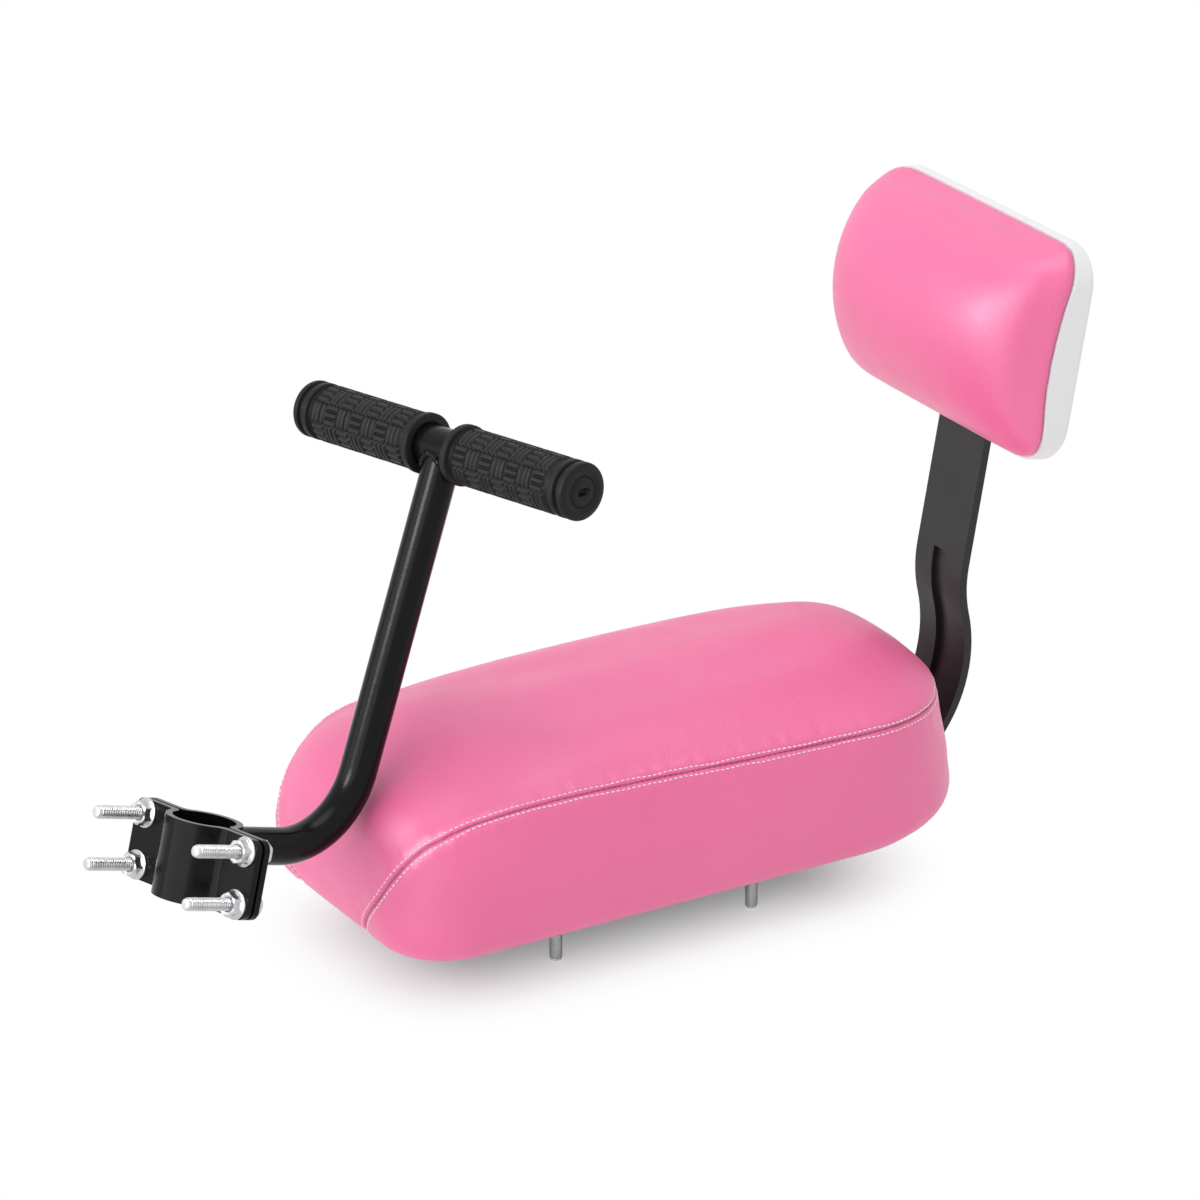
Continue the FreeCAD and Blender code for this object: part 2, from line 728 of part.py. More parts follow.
def make_backrest_pad():
    body = new_body("backrest_pad")
    room = dim.soft_clearance
    edge = dim.shell_wall + room

    # The cover's edge is as wide as the shell and lies on the swept rim
    brim = new_sketch(body, "pad_brim_outline", "YZ_Plane")
    draw_upright(brim, room, dim.shell_corner - room)
    extrude(body, "Pad", "pad_brim", brim, dim.rim_depth, reverse=True)
    sweep = new_sketch(body, "pad_sweep_outline", "XZ_Plane")
    draw_rim_sweep(sweep, room, -dim.shell_wall)
    extrude(body, "Pocket", "pad_sweep", sweep, dim.shell_width, both_ways=True)

    plug = new_sketch(body, "pad_plug_outline", "YZ_Plane", -edge)
    draw_upright(plug, edge, dim.shell_corner - edge)
    extrude(body, "Pad", "pad_plug", plug, dim.rim_depth - edge, reverse=True)

    sections = []
    for number, (share, inset, corner) in enumerate(PAD_SECTIONS):
        depth = dim.rim_depth + (dim.pad_depth - dim.rim_depth) * share
        sketch = new_sketch(body, f"pad_level_{number}", "YZ_Plane", -depth)
        draw_upright(sketch, dim.pad_rounding * inset, dim.shell_corner * corner)
        sections.append(sketch)
    loft(body, "pad_form", sections)

    beds = new_sketch(body, "boss_beds_outline", "YZ_Plane", -dim.shell_wall)
    for place in backrest_bolt_places():
        draw_circle(beds, place, dim.boss_radius + room)
    extrude(body, "Pocket", "boss_beds", beds, dim.boss_height + room)
    return body


def make_backrest():
    frame = backrest_frame()
    shell = make_backrest_shell()
    pad = make_backrest_pad()
    for body in (shell, pad):
        body.Placement = frame
    made = [make_backrest_strap(), shell, pad]
    to_rear = FreeCAD.Rotation(ALONG_Y, QUARTER_TURN)
    for number, (y, z) in enumerate(backrest_bolt_places(), 1):
        bolt = make_hex_bolt(f"backrest_bolt_{number}", dim.strap_thickness + dim.backrest_bolt_reach)
        bolt.Placement = frame * at(dim.strap_thickness, y, z, to_rear)
        made.append(bolt)
    return made


# Grab handle, in the clamp's own frame: Z along the post, X to the rear

def clamp_bolt_places():
    return [
        (dim.clamp_bolts_across * (0.5 * across), dim.clamp_bolts_along * (0.5 * along))
        for across in (-1, 1)
        for along in (-1, 1)
    ]


def plate_faces():
    """Distances from the post's axis to the inner and outer faces of a plate's flanges."""
    inner = dim.plate_gap / 2
    return inner, inner + dim.plate_thickness


def make_clamp_plate(name, side):
    """A pressed plate with two flanges and an arch round the post, to the side given by the sign."""
    body = new_body(name)
    half_width = dim.plate_width / 2
    inner, outer = plate_faces()
    arch = dim.post_radius + dim.plate_thickness
    inner_turn = root(dim.post_radius * dim.post_radius - inner * inner)
    outer_turn = root(arch * arch - outer * outer)
    outline = new_sketch(body, f"{name}_outline", "XY_Plane")
    corners = [
        (inner * side, -half_width),
        (inner * side, -inner_turn),
        (inner * side, inner_turn),
        (inner * side, half_width),
        (outer * side, half_width),
        (outer * side, outer_turn),
        (outer * side, -outer_turn),
        (outer * side, -half_width),
    ]
    draw(outline, corners, {1: (dim.post_radius, side), 5: (arch, -side)})
    extrude(body, "Pad", f"{name}_steel", outline, dim.plate_height, both_ways=True)

    def at_bend(edge):
        return runs_along(edge, ALONG_Z) and abs(edge.CenterOfMass.y) < half_width.value / 2

    def at_corner(edge):
        return runs_along(edge, ALONG_X) and abs(edge.CenterOfMass.y) > half_width.value / 2

    round_edges(body, f"{name}_bends", dim.plate_bend, at_bend)
    round_edges(body, f"{name}_corners", dim.plate_corner, at_corner)
    holes = new_sketch(body, f"{name}_holes_outline", "YZ_Plane")
    for place in clamp_bolt_places():
        draw_circle(holes, place, dim.thread_radius + dim.hole_clearance)
    extrude(body, "Pocket", f"{name}_holes", holes, 2 * outer, both_ways=True)
    return body


def tube_turns():
    """Points of the upright's middle line: foot, bend start, bend end and crossbar centre."""
    rise = (sine(dim.tube_lean), cosine(dim.tube_lean))
    level = dim.tube_foot_rise
    foot = (as_size(0.0), level)
    start = (dim.tube_stub, level)
    end = (dim.tube_stub + dim.tube_bend_radius * rise[1], level + dim.tube_bend_radius * (1 - rise[0]))
    top = (end[0] + dim.tube_upper * rise[0], end[1] + dim.tube_upper * rise[1])
    return foot, start, end, top


def make_handle_tube():
    body = new_body("handle_tube")
    route_points = tube_turns()
    route = new_sketch(body, "tube_route", "XZ_Plane")
    draw(route, route_points, {1: (dim.tube_bend_radius, 1)}, closed=False)
    section = new_sketch(body, "tube_section", "YZ_Plane")
    draw_circle(section, route_points[0], dim.tube_radius)
    draw_circle(section, route_points[0], dim.tube_radius - dim.tube_wall)
    pipe = body.newObject("PartDesign::AdditivePipe", "tube_steel")
    pipe.Profile = section
    pipe.Spine = (route, ["Edge1", "Edge2", "Edge3"])

    # Both ends are shaped to the round they are welded to
    wide = dim.tube_radius * 3
    foot = new_sketch(body, "tube_foot_outline", "XY_Plane")
    draw_circle(foot, (0.0, 0.0), dim.post_radius + dim.plate_thickness)
    extrude(body, "Pocket", "tube_foot", foot, wide + 2 * dim.tube_foot_rise, both_ways=True)
    cope = new_sketch(body, "tube_cope_outline", "XZ_Plane")
    draw_circle(cope, route_points[-1], dim.crossbar_radius)
    extrude(body, "Pocket", "tube_cope", cope, wide, both_ways=True)
    return body


def make_handle_crossbar():
    body = new_body("handle_crossbar")
    top = tube_turns()[-1]
    section = new_sketch(body, "crossbar_section", "XZ_Plane")
    draw_circle(section, top, dim.crossbar_radius)
    draw_circle(section, top, dim.crossbar_radius - dim.tube_wall)
    extrude(body, "Pad", "crossbar_steel", section, dim.crossbar_length, both_ways=True)
    return body


def make_grip(name):
    """A grip about the Y axis, from its inner flange to its closed end."""
    body = new_body(name)
    bore = dim.crossbar_radius + dim.grip_clearance
    inner_end = dim.grip_gap / 2
    floor = dim.crossbar_length / 2 + dim.grip_clearance
    outer_end = floor + dim.grip_cap
    width = dim.grip_flange_width
    groove = dim.grip_groove
    collar_start = outer_end - width * 2 - groove
    groove_radius = dim.grip_radius - groove / 2
    profile = new_sketch(body, f"{name}_profile", "XY_Plane")
    draw(profile, [
        (bore, inner_end),
        (dim.grip_flange_radius, inner_end),
        (dim.grip_flange_radius, inner_end + width),
        (groove_radius, inner_end + width),
        (groove_radius, inner_end + width + groove),
        (dim.grip_radius, inner_end + width + groove),
        (dim.grip_radius, collar_start - groove),
        (groove_radius, collar_start - groove),
        (groove_radius, collar_start),
        (dim.grip_collar_radius, collar_start),
        (dim.grip_collar_radius, collar_start + width),
        (groove_radius, collar_start + width),
        (groove_radius, collar_start + width + groove),
        (dim.grip_collar_radius, collar_start + width + groove),
        (dim.grip_collar_radius, outer_end - width / 2),
        (dim.grip_radius - groove, outer_end),
        (dim.grip_vent_radius, outer_end),
        (dim.grip_vent_radius, floor),
        (bore, floor),
    ])
    turned = body.newObject("PartDesign::Revolution", f"{name}_rubber")
    turned.Profile = profile
    turned.ReferenceAxis = (profile, ["V_Axis"])
    turned.Angle = 360.0
    return body


def slide_until_near(shape, target, gap):
    """How far the shape can move along +X until only the gap is left to the target."""
    moved = 0.0
    for _ in range(40):
        step = shape.translated(ALONG_X * moved).distToShape(target)[0] - gap
        moved += step
        if step < 0.005:
            break
    return moved


def handle_frame(tube, cushion):
    """Where the clamp stands: as far back as the tube's bend can come to the cushion's nose."""
    turn = FreeCAD.Rotation(ALONG_Z, dim.handle_turn.value)
    turn *= FreeCAD.Rotation(ALONG_X, -dim.handle_tip.value)
    turn *= FreeCAD.Rotation(ALONG_Y, dim.post_lean.value)
    far = dim.seat_length / 2 + dim.tube_stub + dim.tube_bend_radius + dim.tube_upper
    start = at(-far, -dim.clamp_offset, dim.clamp_height, turn)
    waiting = tube.Shape.copy()
    waiting.Placement = start
    slide = slide_until_near(waiting, cushion.Shape, dim.soft_clearance.value)
    start.Base = start.Base + ALONG_X * slide
    return start


def make_handle(cushion):
    _, outer = plate_faces()
    rear_plate = make_clamp_plate("clamp_rear_plate", 1)
    front_plate = make_clamp_plate("clamp_front_plate", -1)
    tube = make_handle_tube()
    crossbar = make_handle_crossbar()
    doc.recompute()
    frame = handle_frame(tube, cushion)
    made = [rear_plate, front_plate, tube, crossbar]
    for body in made:
        body.Placement = frame
    top = tube_turns()[-1]
    for name, half_turns in (("grip_far", 0), ("grip_near", 1)):
        grip = make_grip(name)
        grip.Placement = frame * at(
            top[0], 0.0, top[1], FreeCAD.Rotation(ALONG_Z, half_turns * 2 * QUARTER_TURN)
        )
        made.append(grip)
    to_rear = FreeCAD.Rotation(ALONG_Y, QUARTER_TURN)
    to_front = FreeCAD.Rotation(ALONG_Y, -QUARTER_TURN)
    for number, (y, z) in enumerate(clamp_bolt_places(), 1):
        bolt = make_hex_bolt(f"clamp_bolt_{number}", dim.clamp_bolt_length)
        bolt.Placement = frame * at(outer, y, z, to_rear)
        nut = make_nut(f"clamp_nut_{number}")
        nut.Placement = frame * at(-outer, y, z, to_front)
        made += [bolt, nut]
    return made


def check_and_write(parts):
    """Stop on any failed object, then write one file for each sub-part."""
    doc.recompute()
    failed = [item.Name for item in doc.Objects if {"Invalid", "Error"} & set(item.State)]
    if failed:
        raise RuntimeError(f"failed objects: {failed}")
    for part in parts:
        if part.Shape.isNull() or not part.Shape.isValid() or not part.Shape.Solids:
            raise RuntimeError(f"bad shape: {part.Label}")
    os.makedirs("parts", exist_ok=True)
    for part in parts:
        part.Shape.exportStep(os.path.join("parts", f"{part.Label}.step"))
        print(f"{part.Label}: {len(part.Shape.Solids)} solid, {part.Shape.Volume / 1000:.2f} cm3")


seat_cushion = make_seat_cushion()
seat_pan = make_seat_pan()
doc.recompute()
parts = [seat_cushion, seat_pan]
parts += make_seat_fasteners()
parts += make_backrest()
parts += make_handle(seat_cushion)
check_and_write(parts)
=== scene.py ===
import json
import math

import bmesh
import bpy
import numpy as np
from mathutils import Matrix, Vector
from mathutils.bvhtree import BVHTree
from mathutils.kdtree import KDTree

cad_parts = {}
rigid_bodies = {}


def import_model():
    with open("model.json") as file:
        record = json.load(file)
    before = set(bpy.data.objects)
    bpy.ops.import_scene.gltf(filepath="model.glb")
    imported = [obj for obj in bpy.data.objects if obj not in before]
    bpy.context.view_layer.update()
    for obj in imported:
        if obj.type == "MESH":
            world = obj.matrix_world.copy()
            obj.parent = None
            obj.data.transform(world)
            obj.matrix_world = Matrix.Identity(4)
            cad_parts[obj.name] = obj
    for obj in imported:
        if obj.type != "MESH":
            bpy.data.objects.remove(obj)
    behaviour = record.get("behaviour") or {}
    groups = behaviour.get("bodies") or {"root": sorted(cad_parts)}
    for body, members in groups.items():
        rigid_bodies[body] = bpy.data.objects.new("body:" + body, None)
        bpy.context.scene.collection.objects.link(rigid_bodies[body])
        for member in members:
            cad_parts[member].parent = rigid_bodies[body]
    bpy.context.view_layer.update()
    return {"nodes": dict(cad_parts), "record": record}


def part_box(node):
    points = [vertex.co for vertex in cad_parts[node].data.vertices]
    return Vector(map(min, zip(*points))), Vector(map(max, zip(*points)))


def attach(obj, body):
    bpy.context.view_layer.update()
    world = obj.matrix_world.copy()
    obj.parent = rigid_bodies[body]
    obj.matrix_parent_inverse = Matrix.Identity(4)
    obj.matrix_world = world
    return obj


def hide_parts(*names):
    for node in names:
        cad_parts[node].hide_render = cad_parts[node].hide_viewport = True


# Looks of the rear rack cushion seat, in the part's own frame: +X from the nose to the backrest, +Z up.
# Lengths are in millimetres, and MM turns them into Blender's metres. Floor, lamps and camera are in metres.

for item in list(bpy.data.objects):
    bpy.data.objects.remove(item, do_unlink=True)

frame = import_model()
nodes = frame["nodes"]
scene = bpy.context.scene
MM = 0.001
FULL_TURN = 2.0 * math.pi

# Sizes that the pieces share with the solids
STUD_REACH = 25.0
PAN_TOP = 10.0
PAN_HALF_WIDTH = 62.0
PAN_FRONT = -112.0
PAN_REAR = 122.5
STRAP_HALF_WIDTH = 19.0
STRAP_BEND_START = 122.5
STRAP_BEND_INNER = 66.0
STRAP_BEND_CENTRE = 66.0
BACKREST_LEAN = 10.5
SHELL_HALF_WIDTH = 81.0
SHELL_HALF_HEIGHT = 52.0
SHELL_CORNER = 20.0
RIM_TOP = 7.0
RIM_BOTTOM = 10.0
RIM_RADIUS = 180.0
BOSS_RADIUS = 7.0
BOSS_END = 11.0
BOSS_SPACING = 34.0
TUBE_RADIUS = 8.5
TUBE_LEAN = 6.3
TUBE_FOOT_RISE = 6.0
CROSSBAR_RADIUS = 9.5
CLAMP_ARCH_RADIUS = 17.3

# Covers: voxel of the remesh, start inside the solid, largest move and swelling past the solid
SEAT_VOXEL = 5.0
SEAT_INSET, SEAT_CAP, SEAT_SWELL = 2.4, 6.0, 1.2
PAD_VOXEL = 2.2
PAD_INSET, PAD_CAP, PAD_SWELL = 1.6, 5.0, 0.6
CLOTH_FRAMES = 20
SWELL_SCALES = (0.3, 3.0)

# Shape of the covers
NOSE_CORNER = (-94.0, 28.0)
NOSE_FILL = 3.5
REAR_LIFT = 2.2
ROOF_ROOM = 1.5
WALL_ROOM = 1.3
STRAP_ROOM = 1.8
BOSS_ROOM = 1.6
BOSS_LIFT = 1.2
DOME_DEPTH = 38.5
DOME_POWER_ABOVE = 2.2
DOME_POWER_BELOW = 1.9
DOME_POWER_ASIDE = 3.2
DOME_TILT = 0.16
BRIM_ROUNDING = 8.0
BRIM_BAND = 3.0
RIM_TOLERANCE = 0.05

# The seam on the near half, from under the nose along the side and to the middle of the rear
SEAM_POINTS = [
    (-134.5, -23.5, 1.0), (-139.7, -30.2, 9.8), (-142.6, -43.0, 23.4), (-141.6, -48.8, 31.4),
    (-138.7, -54.6, 41.7), (-133.8, -58.8, 49.5), (-127.7, -62.4, 55.8), (-120.2, -66.2, 60.3),
    (-110.6, -69.0, 64.4), (-100.0, -71.0, 66.6), (-85.0, -72.1, 68.0), (-64.0, -72.3, 68.3),
    (-44.0, -72.8, 68.0), (-8.0, -74.0, 66.9), (27.0, -75.4, 65.5), (63.0, -76.0, 64.4),
    (100.0, -76.0, 63.2), (123.6, -70.5, 62.0), (142.0, -59.0, 61.0), (158.0, -36.0, 60.7),
    (164.5, 0.0, 60.6),
]
SEAM_STEP = 0.8
SEAM_REACH = 6.0
SEAM_CUTS = 3
SEAM_HOLD = 0.85
FAR_SHIFT = 4.0
FAR_SHIFT_LOW = 5.0
CURVE_SAMPLES = 24

# Depth and half width of the seam's groove, of the valley round it and of the dip under the stitches
GROOVE = (1.3, 0.8)
VALLEY = (0.6, 4.0)
ROW_DIP = (0.2, 0.6)

# Stitches: places along one from end to end, its thickness and its rise there
STITCH_OFFSET = 2.2
STITCH_PITCH = 2.7
STITCH_END = 2.0
STITCH_HALF = 0.95
STITCH_WIDE, STITCH_HIGH = 0.29, 0.27
STITCH_SLANT = 0.10
STITCH_SIDES = 6
STITCH_SPOTS = np.array([-1.0, -0.8, -0.4, 0.0, 0.4, 0.8, 1.0])
STITCH_WIDTHS = np.array([0.3, 0.8, 1.0, 1.0, 1.0, 0.8, 0.3])
STITCH_RISES = 0.22 - 0.40 * STITCH_SPOTS ** 4

# Grips, by the distance from the crossbar's middle
GRIP_INNER = 11.0
GRIP_OUTER = 90.6
GRIP_SIDES = 176
GRIP_GROOVE = 11.2
GRIP_BODY = 11.7
GRIP_COLLAR = 13.2
GRIP_FLANGE = 14.0
GRIP_END_ROUNDING = 2.0
TREAD_START = GRIP_INNER + 7.0
TREAD_END = GRIP_OUTER - 13.0
TREAD_HEIGHT = 1.5
TREAD_COLUMNS = 7
TREAD_ROWS = 8
TREAD_BARS = 3.0
# Painted light on the grips: the tread's raised bars are painted paler as if lit and its grooves darker;
# plain parts take this middle level.
PLAIN_PAINTED_LIGHT = 0.3

# Rings of a grip's end: share of its radius and depth for the cap, share of the slot and depth for the slot
CAP_RINGS = (
    (0.93, -0.55), (0.83, -0.4), (0.80, -1.1), (0.75, -1.1), (0.72, -0.25), (0.5, -0.1), (0.36, 0.0),
)
SLOT_RINGS = ((1.15, -0.05), (1.0, -0.4), (0.95, -2.5), (0.05, -2.6))
# Innermost rings of the end slot, painted dark as shade in the recess.
SLOT_SHADED_RINGS = 3

# Threaded hardware
THREAD_RADIUS = 3.0
THREAD_CORE = 2.42
THREAD_PITCH = 1.0
THREAD_START = 0.12
THREAD_LEAD = 1.4
THREAD_SIDES = 36
TIP_RINGS = ((0.0, 1.9), (0.02, 2.1))
UNDER_HEAD = 2.45
HEX_FLATS = 10.0
BOLT_HEAD_HEIGHT = 4.0
NUT_SIDES = 72
STUD_NECK = 3.75
STUD_HEAD = 6.45
SHARP_ANGLE = math.radians(38.0)

# Weld beads
WELD_STEPS = 200
WELD_SIDES = 10
WELD_RADIUS = 1.6
WELD_OFFSET = 0.35


# Materials

class Look:
    """A procedural material under construction."""

    def __init__(self, name):
        self.material = bpy.data.materials.new(name)
        self.material.use_nodes = True
        self.tree = self.material.node_tree
        self.shader = self.tree.nodes["Principled BSDF"]
        self.coords = self.node("ShaderNodeTexCoord").outputs["Object"]

    def node(self, kind, settings=None, **inputs):
        made = self.tree.nodes.new(kind)
        for key, value in (settings or {}).items():
            setattr(made, key, value)
        for key, value in inputs.items():
            self.feed(made.inputs[key.replace("_", " ")], value)
        return made

    def feed(self, socket, value):
        if isinstance(value, bpy.types.NodeSocket):
            self.tree.links.new(value, socket)
        else:
            socket.default_value = value

    def surface(self, **inputs):
        for key, value in inputs.items():
            self.feed(self.shader.inputs[key.replace("_", " ")], value)

    def operate(self, kind, operation, *values):
        """A maths node on the values."""
        made = self.node(kind, {"operation": operation})
        for socket, value in zip(made.inputs, values):
            self.feed(socket, value)
        return made

    def attribute(self, name):
        return self.node("ShaderNodeAttribute", {"attribute_name": name}).outputs["Fac"]

    def noise(self, scale, detail=3.0, roughness=0.5):
        made = self.node(
            "ShaderNodeTexNoise", Vector=self.coords, Scale=scale, Detail=detail, Roughness=roughness
        )
        return made.outputs["Fac"]

    def cells(self, scale):
        return self.node("ShaderNodeTexVoronoi", Vector=self.coords, Scale=scale).outputs["Distance"]

    def ranged(self, value, limits, settings=None):
        """Map a value between limits: from low, from high, to low, to high."""
        made = self.node("ShaderNodeMapRange", settings, Value=value)
        for key, number in zip(("From Min", "From Max", "To Min", "To Max"), limits):
            made.inputs[key].default_value = number
        return made.outputs["Result"]

    def spread(self, value, low, high):
        """Stretch a texture value to run from low to high."""
        return self.ranged(value, (0.25, 0.75, low, high))

    def sum(self, first, second, share):
        return self.operate("ShaderNodeMath", "MULTIPLY_ADD", second, share, first).outputs[0]

    def mixed(self, factor, first, second):
        made = self.node("ShaderNodeMix", {"data_type": "RGBA"})
        sockets = [item for item in made.inputs if item.enabled]
        for socket, value in zip(sockets, (factor, first, second)):
            self.feed(socket, value)
        return next(item for item in made.outputs if item.enabled)

    def bump(self, height, strength, distance, below=None):
        made = self.node("ShaderNodeBump", Height=height, Strength=strength, Distance=distance)
        if below is not None:
            self.feed(made.inputs["Normal"], below)
        return made.outputs["Normal"]


def rgb(red, green, blue):
    return (red, green, blue, 1.0)


def leather_look():
    look = Look("pink_cover")
    tone = look.spread(look.noise(scale=9.0, detail=2.0), 0.0, 1.0)
    colour = look.mixed(tone, rgb(0.85, 0.126, 0.328), rgb(0.895, 0.149, 0.364))
    pores = look.cells(scale=1150.0)
    colour = look.mixed(look.spread(pores, 0.0, 0.12), colour, rgb(0.66, 0.07, 0.2))
    # Painted shade: the crease attribute darkens the seam's groove and the pad's edge at the shell's rim.
    colour = look.mixed(look.attribute("painted_crease_shade"), colour, rgb(0.2, 0.012, 0.05))
    creases = look.noise(scale=260.0, detail=4.0, roughness=0.6)
    grain = look.bump(look.sum(pores, creases, 0.8), strength=0.32, distance=0.00022)
    soft = look.bump(look.noise(scale=38.0, detail=2.0), strength=0.12, distance=0.0016, below=grain)
    gloss = look.spread(look.noise(scale=60.0), 0.40, 0.50)
    look.surface(Base_Color=colour, Roughness=gloss, Normal=soft)
    look.surface(Specular_IOR_Level=0.95, Sheen_Weight=0.12, Sheen_Roughness=0.5)
    return look.material


def thread_look():
    look = Look("pale_thread")
    twist = look.node("ShaderNodeTexWave", Vector=look.coords, Scale=420.0, Distortion=1.5)
    strands = look.bump(twist.outputs["Fac"], strength=0.4, distance=0.0002)
    colour = look.mixed(look.noise(scale=300.0), rgb(0.86, 0.78, 0.80), rgb(0.95, 0.91, 0.92))
    look.surface(Base_Color=colour, Roughness=0.7, Normal=strands, Sheen_Weight=0.2)
    return look.material


def shell_look():
    look = Look("white_moulding")
    tone = look.noise(scale=14.0, detail=2.0)
    colour = look.mixed(tone, rgb(0.85, 0.85, 0.862), rgb(0.89, 0.89, 0.90))
    gloss = look.spread(look.noise(scale=90.0), 0.27, 0.36)
    skin = look.bump(look.noise(scale=420.0, detail=2.0), strength=0.10, distance=0.0002)
    look.surface(Base_Color=colour, Roughness=gloss, Normal=skin)
    return look.material


def black_steel_look(name, dark, pale, shine, polish):
    look = Look(name)
    colour = look.mixed(
        look.noise(scale=30.0), rgb(dark, dark, dark * 1.04), rgb(pale, pale, pale * 1.04)
    )
    gloss = look.spread(look.noise(scale=55.0, detail=4.0), polish, polish + 0.1)
    peel = look.bump(look.noise(scale=900.0, detail=2.0), strength=0.16, distance=0.00025)
    look.surface(Base_Color=colour, Roughness=gloss, Normal=peel, Specular_IOR_Level=shine)
    return look.material


def zinc_look():
    look = Look("bright_zinc")
    tone = look.noise(scale=160.0, detail=4.0)
    colour = look.mixed(tone, rgb(0.47, 0.475, 0.49), rgb(0.66, 0.66, 0.67))
    gloss = look.spread(look.noise(scale=420.0, detail=4.0), 0.22, 0.40)
    scuff = look.bump(look.noise(scale=1300.0), strength=0.12, distance=0.0001)
    look.surface(Base_Color=colour, Roughness=gloss, Normal=scuff, Metallic=1.0)
    return look.material


def rubber_look():
    look = Look("black_rubber")
    tone = look.noise(scale=70.0)
    colour = look.mixed(tone, rgb(0.004, 0.004, 0.0042), rgb(0.007, 0.007, 0.0072))
    # Painted light: raised tread bars paler as if lit, grooves and the end slot darker as painted shade.
    colour = look.mixed(look.attribute("painted_tread_light"), colour, rgb(0.019, 0.019, 0.0194))
    gloss = look.spread(look.noise(scale=140.0), 0.42, 0.56)
    skin = look.bump(look.noise(scale=1600.0), strength=0.25, distance=0.0002)
    look.surface(Base_Color=colour, Roughness=gloss, Normal=skin, Specular_IOR_Level=0.2)
    return look.material


def pan_look():
    look = Look("black_moulding")
    tone = look.noise(scale=40.0)
    colour = look.mixed(tone, rgb(0.022, 0.022, 0.023), rgb(0.034, 0.034, 0.035))
    gloss = look.spread(look.noise(scale=200.0), 0.5, 0.65)
    skin = look.bump(look.cells(scale=900.0), strength=0.3, distance=0.0002)
    look.surface(Base_Color=colour, Roughness=gloss, Normal=skin)
    return look.material


LEATHER = leather_look()
THREAD = thread_look()
SHELL = shell_look()
STEEL = black_steel_look("gloss_black_steel", dark=0.003, pale=0.006, shine=0.13, polish=0.15)
STRAP_STEEL = black_steel_look("satin_black_steel", dark=0.012, pale=0.020, shine=0.34, polish=0.36)
ZINC = zinc_look()
RUBBER = rubber_look()
PAN = pan_look()


# Mesh helpers

def new_object(name, mesh, material):
    piece = bpy.data.objects.new(name, mesh)
    scene.collection.objects.link(piece)
    mesh.materials.clear()
    mesh.materials.append(material)
    return piece


def mesh_from(name, points, faces):
    mesh = bpy.data.meshes.new(name)
    mesh.from_pydata(np.asarray(points, float).tolist(), [], faces)
    mesh.validate()
    mesh.update()
    mesh.shade_smooth()
    return mesh


def vertex_values(mesh, key):
    flat = np.zeros(len(mesh.vertices) * 3, np.float32)
    mesh.vertices.foreach_get(key, flat)
    return flat.reshape(-1, 3).astype(float)


def coordinates(mesh):
    return vertex_values(mesh, "co")


def normals(mesh):
    return vertex_values(mesh, "normal")


def set_coordinates(mesh, points):
    mesh.vertices.foreach_set("co", np.asarray(points, np.float32).ravel())
    mesh.update()


def set_shade(mesh, name, values):
    """Store a value per vertex that a material reads."""
    shade = mesh.attributes.new(name, "FLOAT", "POINT")
    shade.data.foreach_set("value", values.ravel().astype(np.float32))


def bake(piece):
    """Keep what the modifiers make as the piece's own mesh."""
    graph = bpy.context.evaluated_depsgraph_get()
    made = bpy.data.meshes.new_from_object(piece.evaluated_get(graph))
    piece.modifiers.clear()
    piece.data = made
    made.shade_smooth()


def full_turn(count):
    return np.linspace(0.0, FULL_TURN, count, endpoint=False)


def grid_faces(rings, around):
    """Faces between rings of points that each close on themselves."""
    faces = []
    for ring in range(rings - 1):
        low = ring * around
        high = low + around
        for step in range(around):
            after = (step + 1) % around
            faces.append((low + step, low + after, high + after, high + step))
    return faces


def first_cap(around):
    return tuple(reversed(range(around)))


def last_cap(rings, around):
    return tuple((rings - 1) * around + corner for corner in range(around))


def turned_frame(axis):
    """Two directions square to the axis."""
    axis = axis / np.linalg.norm(axis)
    helper = np.array([0.0, 0.0, 1.0]) if abs(axis[2]) < 0.9 else np.array([1.0, 0.0, 0.0])
    first = np.cross(helper, axis)
    first /= np.linalg.norm(first)
    return first, np.cross(axis, first)


def ring_points(origin, axis, heights, sizes, turns):
    """Points on rings round an axis, from the height and the radius at each turn."""
    first, second = turned_frame(axis)
    spokes = np.cos(turns)[:, None] * first + np.sin(turns)[:, None] * second
    points = origin + axis * (heights * MM)[:, :, None] + spokes[None, :, :] * (sizes * MM)[:, :, None]
    return points.reshape(-1, 3)


def long_axis(node):
    """Middle and direction of a long node, from its vertices."""
    points = coordinates(nodes[node].data)
    middle = (points.min(axis=0) + points.max(axis=0)) / 2
    _, _, rows = np.linalg.svd(points - points.mean(axis=0), full_matrices=False)
    return middle, rows[0]


def lengths_along(points):
    return np.r_[0.0, np.cumsum(np.linalg.norm(np.diff(points, axis=0), axis=1))]


def smooth_curve(points, step):
    """A smooth curve through the points, sampled at even steps."""
    points = np.asarray(points, float)
    ends = np.vstack([2 * points[0] - points[1], points, 2 * points[-1] - points[-2]])
    fine = []
    for number in range(len(points) - 1):
        a, b, c, d = ends[number:number + 4]
        for share in np.linspace(0.0, 1.0, CURVE_SAMPLES, endpoint=False):
            square = share * share
            cube = square * share
            fine.append(0.5 * (
                2 * b + (c - a) * share + (2 * a - 5 * b + 4 * c - d) * square
                + (3 * b - a - 3 * c + d) * cube
            ))
    fine.append(points[-1])
    fine = np.array(fine)
    along = lengths_along(fine)
    wanted = np.linspace(0.0, along[-1], max(2, int(round(along[-1] / step)) + 1))
    return np.column_stack([np.interp(wanted, along, fine[:, axis]) for axis in range(3)])


def surface_of(mesh):
    graph = bmesh.new()
    graph.from_mesh(mesh)
    bmesh.ops.remove_doubles(graph, verts=graph.verts, dist=1e-6)
    tree = BVHTree.FromBMesh(graph)
    graph.free()
    return tree


